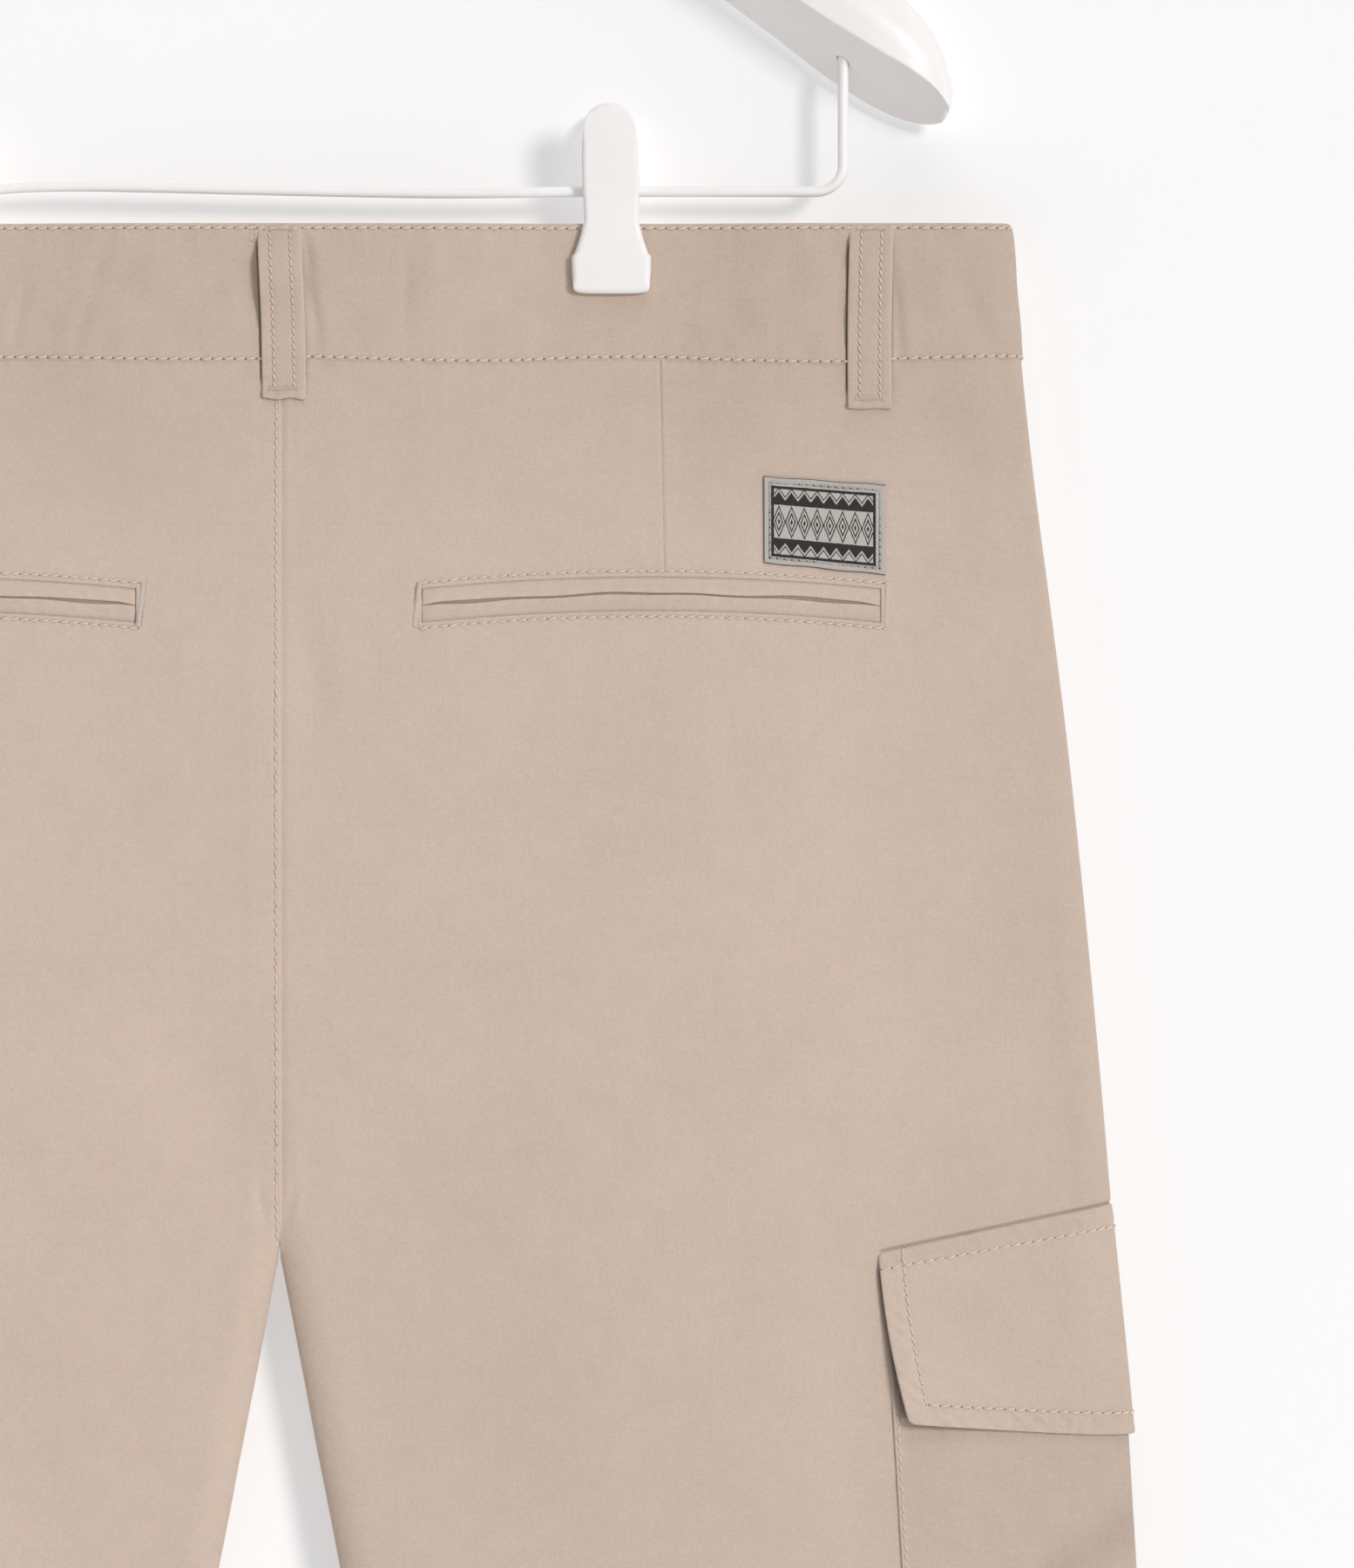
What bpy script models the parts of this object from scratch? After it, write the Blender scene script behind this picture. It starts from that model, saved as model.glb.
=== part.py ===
"""Cargo bermuda shorts, closed and hanging flat from a clip hanger.

Frame, in metres: +Z up, origin where a rail would carry the hanger's hook. -Y is the seat side, +Y the fly
side, and +X the wearer's right. A drop is a distance down from the waistband's top edge.

Each cloth panel is a wall on one flattened tube: at every drop the tube has a half width, a half depth and a
rounded fold at its side. Above the crotch the two halves are one tube, and below it they are two legs.
"""

import math
from collections import namedtuple

import bmesh
import bpy
import numpy as np
from mathutils import Matrix, Vector

MM = 0.001
GAP = 0.3 * MM  # between pieces that touch on the real shorts

# ---------------------------------------------------------------- shorts: driving sizes
WAIST_Z = -234 * MM  # height of the waistband's top edge
WAISTBAND_HEIGHT = 40 * MM
CROTCH_DROP = 307.8 * MM
HEM_DROP = 550 * MM
PANEL_WALL = 1.0 * MM
WAISTBAND_WALL = 2.0 * MM  # two layers of twill and an interlining
CROTCH_ROUNDING = 50 * MM  # height over which front and back close towards the crotch
INSEAM_FOLD = 60 * MM  # width over which a leg closes towards its inseam
LEG_SPREAD = 0.193  # how far each inseam leans out for each unit of drop

# half_width: outside edge. depth: half the space between front and back walls. fold: width of the side fold.
Section = namedtuple("Section", "drop half_width depth fold")
SECTIONS = [
    Section(0 * MM, 218.2 * MM, 5.0 * MM, 15 * MM),
    Section(40 * MM, 221.3 * MM, 5.3 * MM, 17 * MM),
    Section(75 * MM, 225.0 * MM, 6.6 * MM, 30 * MM),
    Section(110 * MM, 229.5 * MM, 8.0 * MM, 46 * MM),
    Section(150 * MM, 234.5 * MM, 9.2 * MM, 60 * MM),
    Section(190 * MM, 238.8 * MM, 10.0 * MM, 68 * MM),
    Section(240 * MM, 243.6 * MM, 10.3 * MM, 70 * MM),
    Section(285 * MM, 247.5 * MM, 10.5 * MM, 70 * MM),
    Section(400 * MM, 254.9 * MM, 11.0 * MM, 70 * MM),
    Section(550 * MM, 263.5 * MM, 12.0 * MM, 70 * MM),
]

# The clips press front and back together: full height of the pinch, then where it has died out.
CLIP_X = 99 * MM
PINCH_HALF_WIDTH = 14 * MM
PINCH_FADE_WIDTH = 45 * MM
PINCH_DROP = 24 * MM
PINCH_FADE_DROP = 85 * MM
PINCHED_DEPTH = WAISTBAND_WALL / 2 + 0.2 * MM

# Share of a fold's depth at each column of a panel, from the fold's edge inwards.
FOLD_SHARES = (0.0, 0.12, 0.25, 0.4, 0.6, 0.8, 1.0)
MIDDLE_COLUMNS = 4

# ---------------------------------------------------------------- shorts: pieces on the panels
LOOP_WIDTH = 13.2 * MM
LOOP_WALL = 1.4 * MM
LOOP_STAND = 2.1 * MM  # room for a belt behind a slack loop
LOOP_TOP = 1.2 * MM
LOOP_TACK = 5 * MM  # sewn flat at each end over this length
Loop = namedtuple("Loop", "name x lean bottom face")
LOOPS = [
    Loop("belt_loop_centre_back", 0.2 * MM, 1.3 * MM, 52.2 * MM, -1),
    Loop("belt_loop_back_right", 176.6 * MM, -0.6 * MM, 55.6 * MM, -1),
    Loop("belt_loop_back_left", -176.6 * MM, 0.6 * MM, 55.6 * MM, -1),
    Loop("belt_loop_front_right", 132 * MM, 0.5 * MM, 54 * MM, 1),
    Loop("belt_loop_front_left", -132 * MM, -0.5 * MM, 54 * MM, 1),
]

WELT_FROM_X = 44.2 * MM
WELT_TO_X = 178.8 * MM
WELT_DROP = 110.6 * MM  # of the mouth, at its middle
WELT_ARCH = 3.5 * MM  # how far the mouth's ends hang below its middle
WELT_HEIGHT = 5.0 * MM
WELT_WALL = 1.0 * MM

LABEL_X = 162.5 * MM
LABEL_DROP = 90.0 * MM
LABEL_WIDTH = 36.4 * MM
LABEL_HEIGHT = 26.4 * MM
LABEL_SLOPE = 0.088  # it is sewn on slightly askew
LABEL_WALL = 1.0 * MM

POCKET_HALF_WIDTH = 69.0 * MM
POCKET_MOUTH_DROP = 301 * MM  # at the side seam
POCKET_BOTTOM_DROP = 472 * MM
POCKET_WALL = 1.2 * MM
FLAP_TOP_DROP = 292.4 * MM  # at the side seam
FLAP_SLOPE = 0.205  # the flap's top edge rises towards the front by this much
FLAP_POINT_DROP = 361 * MM  # the flap's lowest point, at the side seam
FLAP_RISE = 16.5 * MM  # of the flap's bottom edge, from its point to its corners
FLAP_TOP_HALF_WIDTH = 70.3 * MM
FLAP_BOTTOM_HALF_WIDTH = 65.0 * MM
FLAP_WALL = 1.4 * MM
FLAP_SEAM = 9 * MM  # the flap lies on the leg over this height, then passes over the pocket

BUTTON_X = -13 * MM
BUTTON_DROP = 20 * MM
BUTTON_RADIUS = 8.5 * MM
BUTTON_THICKNESS = 3.2 * MM
BUTTON_HOLE_RADIUS = 0.9 * MM
BUTTON_HOLE_SPACING = 3.0 * MM
UNDERLAP_END_X = -36 * MM  # the right waistband runs on behind the left one to here
OVERLAP_END_X = 1.0 * MM
ZIP_HALF_WIDTH = 12 * MM
ZIP_FROM_DROP = 43 * MM
ZIP_TO_DROP = 185 * MM
ZIP_WALL = 1.2 * MM

# ---------------------------------------------------------------- hanger: driving sizes
HOOK_WIRE = 1.8 * MM  # radius
HOOK_INNER_RADIUS = 19 * MM
HOOK_JOIN_ANGLE = -40  # degrees, where the stem's bend runs into the round of the hook
HOOK_TIP_ANGLE = 200
HOOK_STEM_TOP = -54 * MM
HUB_TOP = -80 * MM
WIRE_SOCKET_DEPTH = 9 * MM
SOCKET_CLEARANCE = 0.3 * MM
BAR_WIRE = 1.6 * MM  # radius
BAR_HEIGHT = 9.6 * MM  # above the waistband's top edge, at the clips
BAR_RISE = 1.6 * MM  # of the bar's middle above its clips
BAR_HALF_WIDTH = 168.1 * MM
BAR_BEND = 8 * MM
BAR_END_HEIGHT = 57 * MM

# crease: height of the lower front edge above the waistband. drop: from that edge to the lower back edge.
# face: from that edge up to the top. depth: front to back.
Arm = namedtuple("Arm", "x crease drop face depth")
ARM = [
    Arm(0 * MM, 132.0 * MM, 3.0 * MM, 22.0 * MM, 14 * MM),
    Arm(22 * MM, 128.0 * MM, 3.0 * MM, 20.0 * MM, 14 * MM),
    Arm(55 * MM, 116.5 * MM, 4.0 * MM, 19.0 * MM, 16 * MM),
    Arm(90 * MM, 101.0 * MM, 7.0 * MM, 20.0 * MM, 19 * MM),
    Arm(120 * MM, 86.5 * MM, 10.5 * MM, 22.0 * MM, 22 * MM),
    Arm(145 * MM, 72.5 * MM, 14.5 * MM, 24.0 * MM, 25 * MM),
    Arm(165 * MM, 59.3 * MM, 16.5 * MM, 24.0 * MM, 27 * MM),
    Arm(180 * MM, 50.2 * MM, 16.5 * MM, 22.5 * MM, 27 * MM),
    Arm(190 * MM, 44.2 * MM, 14.0 * MM, 19.5 * MM, 24 * MM),
    Arm(196 * MM, 39.4 * MM, 9.5 * MM, 16.0 * MM, 19 * MM),
    Arm(199.5 * MM, 35.0 * MM, 4.0 * MM, 11.0 * MM, 11 * MM),
]
ARM_STEPS = 9 * MM
# The arm's outline in a vertical cut, as shares of half its depth (y) and of its face (up) or drop (down).
ArmPoint = namedtuple("ArmPoint", "y up down")
ARM_POINTS = [
    ArmPoint(-1.00, 0.00, 0),
    ArmPoint(-1.00, 0.45, 0),
    ArmPoint(-0.72, 0.80, 0),
    ArmPoint(-0.20, 0.99, 0),
    ArmPoint(0.35, 0.97, 0),
    ArmPoint(0.85, 0.70, 0),
    ArmPoint(1.00, 0.25, 0),
    ArmPoint(1.00, 0.00, 0.70),
    ArmPoint(0.85, 0.00, 1.00),
]

# inner and outer: distances of a jaw's faces from the middle plane. height: above the waistband's top edge.
Jaw = namedtuple("Jaw", "height half_width inner outer")
JAW = [
    Jaw(35.4 * MM, 3.4 * MM, 9.6 * MM, 11.2 * MM),
    Jaw(33.4 * MM, 5.9 * MM, 9.0 * MM, 11.4 * MM),
    Jaw(29.5 * MM, 7.5 * MM, 8.1 * MM, 10.9 * MM),
    Jaw(18.4 * MM, 8.5 * MM, 5.9 * MM, 8.5 * MM),
    Jaw(10.5 * MM, 8.7 * MM, 4.2 * MM, 6.8 * MM),
    Jaw(3.0 * MM, 8.2 * MM, 3.1 * MM, 5.9 * MM),
    Jaw(-0.8 * MM, 8.4 * MM, 2.65 * MM, 5.6 * MM),
    Jaw(-8.8 * MM, 10.7 * MM, 2.65 * MM, 5.6 * MM),
    Jaw(-9.9 * MM, 11.8 * MM, 2.65 * MM, 6.0 * MM),
    Jaw(-19.0 * MM, 11.4 * MM, 2.65 * MM, 5.9 * MM),
    Jaw(-21.1 * MM, 9.6 * MM, 2.65 * MM, 5.3 * MM),
]
JAW_CHAMFER = 1.0 * MM
EAR_RADIUS = 3.5 * MM
EAR_WALL = 1.6 * MM
EAR_OFFSET = {-1: 6.5 * MM, 1: 4.3 * MM}  # back jaws' ears stand outside front jaws' ears
EAR_ROOT = 4.9 * MM  # how far an ear reaches into its jaw
SPRING_LENGTH = 6.2 * MM
SPRING_OUTER = 3.0 * MM

# ---------------------------------------------------------------- finishes
Finish = namedtuple("Finish", "colour roughness metallic")
TWILL = Finish((0.59, 0.47, 0.39), 0.9, 0.0)
WOVEN_GREY = Finish((0.36, 0.36, 0.35), 0.85, 0.0)
BUTTON_HORN = Finish((0.30, 0.22, 0.16), 0.4, 0.0)
ZIP_TAPE = Finish((0.45, 0.37, 0.31), 0.8, 0.0)
WHITE_WOOD = Finish((0.86, 0.84, 0.82), 0.45, 0.0)
WHITE_WIRE = Finish((0.87, 0.85, 0.84), 0.35, 0.0)
SPRING_STEEL = Finish((0.55, 0.55, 0.56), 0.3, 1.0)


def clear_scene():
    for obj in list(bpy.data.objects):
        bpy.data.objects.remove(obj)


def material(name, finish):
    """The Principled material of that name, made once."""
    made = bpy.data.materials.get(name)
    if made is None:
        made = bpy.data.materials.new(name)
        made.use_nodes = True
        shader = made.node_tree.nodes["Principled BSDF"]
        shader.inputs["Base Color"].default_value = (*finish.colour, 1)
        shader.inputs["Roughness"].default_value = finish.roughness
        shader.inputs["Metallic"].default_value = finish.metallic
    return made


def add_object(name, mesh, finish_name, finish, parent):
    obj = bpy.data.objects.new(name, mesh)
    bpy.context.scene.collection.objects.link(obj)
    obj.data.materials.append(material(finish_name, finish))
    obj.parent = parent
    return obj


def mesh_of(bm, name):
    """The mesh of a bmesh, with its faces turned outwards and its round parts smooth."""
    bmesh.ops.recalc_face_normals(bm, faces=bm.faces)
    mesh = bpy.data.meshes.new(name)
    bm.to_mesh(mesh)
    bm.free()
    mesh.shade_smooth()
    mesh.set_sharp_from_angle(angle=math.radians(35))
    return mesh


def smooth(table, column, key, at):
    """A column of a table at some key value, on one smooth curve through all its rows."""
    keys = np.array([getattr(row, key) for row in table])
    values = np.array([getattr(row, column) for row in table])
    slopes = np.gradient(values, keys)
    at = np.clip(at, keys[0], keys[-1])
    i = np.clip(np.searchsorted(keys, at, side="right") - 1, 0, len(keys) - 2)
    span = keys[i + 1] - keys[i]
    t = (at - keys[i]) / span
    start = values[i] * (1 + 2 * t) + slopes[i] * span * t
    end = values[i + 1] * (3 - 2 * t) - slopes[i + 1] * span * (1 - t)
    return start * (1 - t) ** 2 + end * t**2


def ease(t):
    """0 below 0, 1 above 1, and a smooth step between."""
    t = np.clip(t, 0, 1)
    return t * t * (3 - 2 * t)


# ---------------------------------------------------------------- the tube that all cloth lies on
def closing(drop):
    """0 where front and back are open at the middle, 1 from the crotch down."""
    return np.clip((drop - CROTCH_DROP + CROTCH_ROUNDING) / CROTCH_ROUNDING, 0, 1)


def inner_edge(drop):
    """Where a panel ends at the centre seam, and below the crotch at the inseam."""
    leg = LEG_SPREAD * np.maximum(drop - CROTCH_DROP, 0)
    return GAP / 2 + PANEL_WALL / 2 * closing(drop) ** 8 + leg


def outer_edge(drop, wall):
    """Middle of the wall at the side fold."""
    return smooth(SECTIONS, "half_width", "drop", drop) - wall / 2


def full_depth(x, drop):
    """Half depth before the folds close it, less what the clips press together."""
    depth = smooth(SECTIONS, "depth", "drop", drop)
    across = 1 - ease((abs(abs(x) - CLIP_X) - PINCH_HALF_WIDTH) / PINCH_FADE_WIDTH)
    down = 1 - ease((drop - PINCH_DROP) / PINCH_FADE_DROP)
    pinch = across * down
    return depth * (1 - pinch) + PINCHED_DEPTH * pinch


def squared_depth(x, drop, wall):
    """Square of the tube's half depth at x, a distance from the middle plane. It falls to 0 at each fold."""
    fold = smooth(SECTIONS, "fold", "drop", drop)
    side = np.sin(math.pi / 2 * np.minimum((outer_edge(drop, wall) - abs(x)) / fold, 1))
    inseam = np.sin(math.pi / 2 * np.minimum((abs(x) - inner_edge(drop)) / INSEAM_FOLD, 1))
    return full_depth(x, drop) ** 2 * side * (1 - closing(drop) ** 2 * (1 - inseam))


def on_cloth(x, drop, face, out, wall=PANEL_WALL):
    """Points at x and a drop on the face -1 (seat) or 1 (fly), moved out from the wall's middle.

    The outward direction is the gradient of y*y - squared_depth.
    """
    x, drop, out = np.broadcast_arrays(*(np.asarray(v, float) for v in (x, drop, out)))
    step = 0.01 * MM
    squared = squared_depth(x, drop, wall)
    across = squared_depth(x + step, drop, wall) - squared_depth(x - step, drop, wall)
    down = squared_depth(x, drop + step, wall) - squared_depth(x, drop - step, wall)
    y = face * np.sqrt(np.maximum(squared, 0))
    normal = np.stack([-across, 4 * step * y, down], -1)
    normal /= np.linalg.norm(normal, axis=-1, keepdims=True)
    points = np.stack([x, y + face * GAP / 2, WAIST_Z - drop], -1)
    return points + normal * out[..., None]


def folded(width):
    """Distances in from a fold's edge at each of FOLD_SHARES."""
    return np.multiply.outer(width, np.arcsin(np.array(FOLD_SHARES) ** 2) * 2 / math.pi)


def wall_mesh(name, outer, inner):
    """A closed wall from two grids of points, rows by columns, sewn together round their edges."""
    rows, columns = outer.shape[:2]
    bm = bmesh.new()
    grids = [
        [[bm.verts.new(point) for point in row] for row in grid] for grid in (outer, inner)
    ]
    for grid in grids:
        for r in range(rows - 1):
            for c in range(columns - 1):
                bm.faces.new((grid[r][c], grid[r][c + 1], grid[r + 1][c + 1], grid[r + 1][c]))
    rim = [(0, c) for c in range(columns)]
    rim += [(r, columns - 1) for r in range(1, rows)]
    rim += [(rows - 1, c) for c in range(columns - 2, -1, -1)]
    rim += [(r, 0) for r in range(rows - 2, 0, -1)]
    for (r, c), (s, d) in zip(rim, rim[1:] + rim[:1]):
        bm.faces.new((grids[0][r][c], grids[0][s][d], grids[1][s][d], grids[1][r][c]))
    return mesh_of(bm, name)


# ---------------------------------------------------------------- panels and waistband
def panel_rows():
    """Drops of a panel's rows, closer together where it closes at the crotch."""
    hip = [WAISTBAND_HEIGHT + GAP] + [h * MM for h in (58, 80, 105, 135, 170, 215)]
    start = CROTCH_DROP - CROTCH_ROUNDING
    crotch = [start + CROTCH_ROUNDING * math.sin(math.radians(a)) for a in (0, 28, 50, 66, 79, 90)]
    leg = [CROTCH_DROP + h * MM for h in (6, 22, 50, 95, 145, 195)]
    return np.array(hip + crotch + leg + [HEM_DROP])


def make_panel(side, face, parent):
    drop = panel_rows()[:, None]
    edge, side_edge = inner_edge(drop), outer_edge(drop, PANEL_WALL)
    inner = edge + folded(np.full(len(drop), INSEAM_FOLD))
    outer = side_edge - folded(smooth(SECTIONS, "fold", "drop", drop[:, 0]))[:, ::-1]
    shares = np.linspace(0, 1, MIDDLE_COLUMNS + 2)[None, 1:-1]
    middle = inner[:, -1:] * (1 - shares) + outer[:, :1] * shares
    x = np.hstack([inner, middle, outer])
    walls = []
    for out in (PANEL_WALL / 2, -PANEL_WALL / 2):
        points = on_cloth(x, np.broadcast_to(drop, x.shape), face, out)
        points[..., 0] = np.maximum(points[..., 0], GAP / 2)
        walls.append(points * (side, 1, 1))
    name = f"{'back' if face < 0 else 'front'}_panel_{'right' if side > 0 else 'left'}"
    return add_object(name, wall_mesh(name, *walls), "twill", TWILL, parent)


def waistband_columns():
    """Distances from the middle plane, closer together where the clips press the waistband."""
    plain = [0, 22, 40, 55, 70, 85, 99, 113, 128, 143, 160, 182]
    edge = outer_edge(0, WAISTBAND_WALL)
    fold = edge - folded(SECTIONS[0].fold)[::-1]
    return np.concatenate([[x * MM for x in plain], fold])


def make_waistband(side, parent):
    """From the centre back round the side fold to the fly. The right one runs on behind the left one."""
    x = waistband_columns()
    drops = np.array([0, 13.5, 27, 40]) * MM
    sink = WAISTBAND_WALL + GAP
    back = np.maximum(x, GAP / 2)
    front = x[::-1][:-1]
    if side > 0:
        tail, tail_sink = np.array([8 * MM, 4 * MM, 0, UNDERLAP_END_X]), np.array([0, -sink, -sink, -sink])
    else:
        tail, tail_sink = np.array([-OVERLAP_END_X]), np.zeros(1)
    walls = []
    for out in (WAISTBAND_WALL / 2, -WAISTBAND_WALL / 2):
        rows = []
        for drop in drops:
            shift = outer_edge(drop, WAISTBAND_WALL) - outer_edge(0, WAISTBAND_WALL)
            moved = shift * ease((back - 182 * MM) / (30 * MM))
            seat = on_cloth(back + moved, drop, -1, out, WAISTBAND_WALL)
            moved = shift * ease((front - 182 * MM) / (30 * MM))
            fly = on_cloth(front + moved, drop, 1, out, WAISTBAND_WALL)
            end = on_cloth(tail, drop, 1, out + tail_sink, WAISTBAND_WALL)
            rows.append(np.vstack([seat, fly, end]))
        walls.append(np.array(rows) * (side, 1, 1))
    name = f"waistband_{'right' if side > 0 else 'left'}"
    return add_object(name, wall_mesh(name, *walls), "twill", TWILL, parent)


# ---------------------------------------------------------------- pieces sewn on
def make_belt_loop(loop, parent):
    """A strip sewn down at both ends, which stands off the waistband between them."""
    drop = np.linspace(LOOP_TOP, loop.bottom, 15)
    share = (drop - LOOP_TOP - LOOP_TACK) / (loop.bottom - LOOP_TOP - 2 * LOOP_TACK)
    stand = LOOP_STAND * np.sin(math.pi * np.clip(share, 0, 1)) ** 0.7
    middle = loop.x + loop.lean * (drop - LOOP_TOP) / (loop.bottom - LOOP_TOP)
    x = middle[:, None] + np.array([-1, 1]) * LOOP_WIDTH / 2
    under = WAISTBAND_WALL / 2 + GAP + stand[:, None]
    walls = []
    for out in (under + LOOP_WALL, under):
        # The strip is flat across, so it stands on the higher of its two edges.
        points = on_cloth(x, drop[:, None], loop.face, np.broadcast_to(out, x.shape))
        reach = (loop.face * points[..., 1]).max(axis=1, keepdims=True)
        points[..., 0], points[..., 1] = x, loop.face * reach
        points[..., 2] = WAIST_Z - drop[:, None]
        walls.append(points)
    return add_object(loop.name, wall_mesh(loop.name, *walls), "twill", TWILL, parent)


def welt_mouth(x):
    """Drop of a seat pocket's mouth at x."""
    middle = (WELT_FROM_X + WELT_TO_X) / 2
    return WELT_DROP + WELT_ARCH * ((x - middle) / (WELT_TO_X - middle)) ** 2


def make_welt(side, place, parent):
    """One lip of a seat pocket: place -1 above its mouth, 1 below it."""
    x = np.linspace(WELT_FROM_X, WELT_TO_X, 12)
    edges = welt_mouth(x) + place * np.array([[GAP / 2], [GAP / 2 + WELT_HEIGHT]])
    under = PANEL_WALL / 2 + GAP
    walls = [
        on_cloth(np.broadcast_to(x, edges.shape), edges, -1, out) * (side, 1, 1)
        for out in (under + WELT_WALL, under)
    ]
    name = f"welt_{'upper' if place < 0 else 'lower'}_{'right' if side > 0 else 'left'}"
    return add_object(name, wall_mesh(name, *walls), "twill", TWILL, parent)


def make_label(parent):
    u, v = np.meshgrid(np.linspace(-0.5, 0.5, 5), np.linspace(-0.5, 0.5, 3))
    x = LABEL_X + u * LABEL_WIDTH
    drop = LABEL_DROP + v * LABEL_HEIGHT + LABEL_SLOPE * u * LABEL_WIDTH
    under = PANEL_WALL / 2 + GAP
    walls = [on_cloth(x, drop, -1, out) for out in (under + LABEL_WALL, under)]
    return add_object("label_patch", wall_mesh("label_patch", *walls), "woven_label", WOVEN_GREY, parent)


def round_the_side(width, drops, out, side):
    """A grid round the side fold. width and drops give a row's reach and its drop at each signed distance
    from the fold, positive on the seat side; out gives how far each row is moved out."""
    walls = []
    for share in np.linspace(0, 1, len(out)):
        row = []
        for face in (-1, 1):
            reach = width(share) * folded(1.0)
            reach = reach[::-1] if face < 0 else reach
            drop = drops(share, -face * reach)
            x = outer_edge(drop, PANEL_WALL) - reach
            row.append(on_cloth(x, drop, face, out[round(share * (len(out) - 1))]))
        walls.append(np.vstack(row))
    return np.array(walls) * (side, 1, 1)


def make_cargo_pocket(side, parent):
    """A patch pocket centred on the side seam. Its mouth slopes with its flap."""

    def drops(share, around):
        mouth = POCKET_MOUTH_DROP + FLAP_SLOPE * around
        return mouth * (1 - share) + POCKET_BOTTOM_DROP * share

    under = PANEL_WALL / 2 + GAP
    walls = [
        round_the_side(lambda share: POCKET_HALF_WIDTH, drops, np.full(8, out), side)
        for out in (under + POCKET_WALL, under)
    ]
    name = f"cargo_pocket_{'right' if side > 0 else 'left'}"
    return add_object(name, wall_mesh(name, *walls), "twill", TWILL, parent)


def flap_bottom(around):
    """Drop of the flap's pointed lower edge."""
    return FLAP_POINT_DROP + FLAP_SLOPE * around - FLAP_RISE * (abs(around) / FLAP_BOTTOM_HALF_WIDTH) ** 1.1


def make_cargo_flap(side, parent):
    """The pointed flap over a cargo pocket, sewn to the leg just above the pocket's mouth."""

    def drops(share, around):
        top = FLAP_TOP_DROP + FLAP_SLOPE * around
        return top * (1 - share) + flap_bottom(around) * share

    def width(share):
        return FLAP_TOP_HALF_WIDTH * (1 - share**2) + FLAP_BOTTOM_HALF_WIDTH * share**2

    share = np.linspace(0, 1, 9)
    height = FLAP_POINT_DROP - FLAP_TOP_DROP
    lifted = ease(share * height / FLAP_SEAM)
    under = PANEL_WALL / 2 + GAP + (POCKET_WALL + GAP) * lifted
    walls = [round_the_side(width, drops, out, side) for out in (under + FLAP_WALL, under)]
    name = f"cargo_flap_{'right' if side > 0 else 'left'}"
    return add_object(name, wall_mesh(name, *walls), "twill", TWILL, parent)


def make_zip(parent):
    """The closed zip behind the fly."""
    x, drop = np.meshgrid(
        np.linspace(-ZIP_HALF_WIDTH, ZIP_HALF_WIDTH, 3), np.linspace(ZIP_FROM_DROP, ZIP_TO_DROP, 7)
    )
    over = -PANEL_WALL / 2 - GAP
    walls = [on_cloth(x, drop, 1, out) for out in (over, over - ZIP_WALL)]
    return add_object("fly_zip", wall_mesh("fly_zip", *walls), "zip_tape", ZIP_TAPE, parent)


def cylinder(bm, radius, length, centre, axis, segments):
    """Adds a capped cylinder about an axis."""
    turn = Vector((0, 0, 1)).rotation_difference(Vector(axis)).to_matrix().to_4x4()
    bmesh.ops.create_cone(
        bm,
        cap_ends=True,
        segments=segments,
        radius1=radius,
        radius2=radius,
        depth=length,
        matrix=Matrix.Translation(centre) @ turn,
    )


def cutter(name, cylinders, parent):
    """A helper of one or more cylinders, left out of the render."""
    bm = bmesh.new()
    for radius, length, centre, axis, segments in cylinders:
        cylinder(bm, radius, length, centre, axis, segments)
    obj = add_object(name, mesh_of(bm, name), "twill", TWILL, parent)
    obj.hide_render = True
    obj.display_type = "WIRE"
    return obj


def boolean(obj, other, operation):
    modifier = obj.modifiers.new(f"{operation.lower()} {other.name}", "BOOLEAN")
    modifier.operation = operation
    modifier.solver = "EXACT"
    modifier.object = other


def make_button(parent):
    """A four-hole button through the left waistband's buttonhole."""
    surface = on_cloth(BUTTON_X, BUTTON_DROP, 1, WAISTBAND_WALL / 2 + GAP, WAISTBAND_WALL)
    centre = Vector(surface) + Vector((0, BUTTON_THICKNESS / 2, 0))
    bm = bmesh.new()
    cylinder(bm, BUTTON_RADIUS, BUTTON_THICKNESS, centre, (0, 1, 0), 24)
    button = add_object("waist_button", mesh_of(bm, "waist_button"), "button", BUTTON_HORN, parent)
    half = BUTTON_HOLE_SPACING / 2
    holes = [
        (BUTTON_HOLE_RADIUS, 3 * BUTTON_THICKNESS, centre + Vector((i * half, 0, j * half)), (0, 1, 0), 8)
        for i in (-1, 1)
        for j in (-1, 1)
    ]
    boolean(button, cutter("button_holes", holes, parent), "DIFFERENCE")
    return button


# ---------------------------------------------------------------- hanger
def lofted(name, sections):
    """A closed solid through rings of points, with flat ends."""
    bm = bmesh.new()
    rings = [[bm.verts.new(point) for point in section] for section in sections]
    for one, two in zip(rings, rings[1:]):
        for i in range(len(one)):
            j = (i + 1) % len(one)
            bm.faces.new((one[i], one[j], two[j], two[i]))
    bm.faces.new(rings[0])
    bm.faces.new(rings[-1])
    return mesh_of(bm, name)


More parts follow.
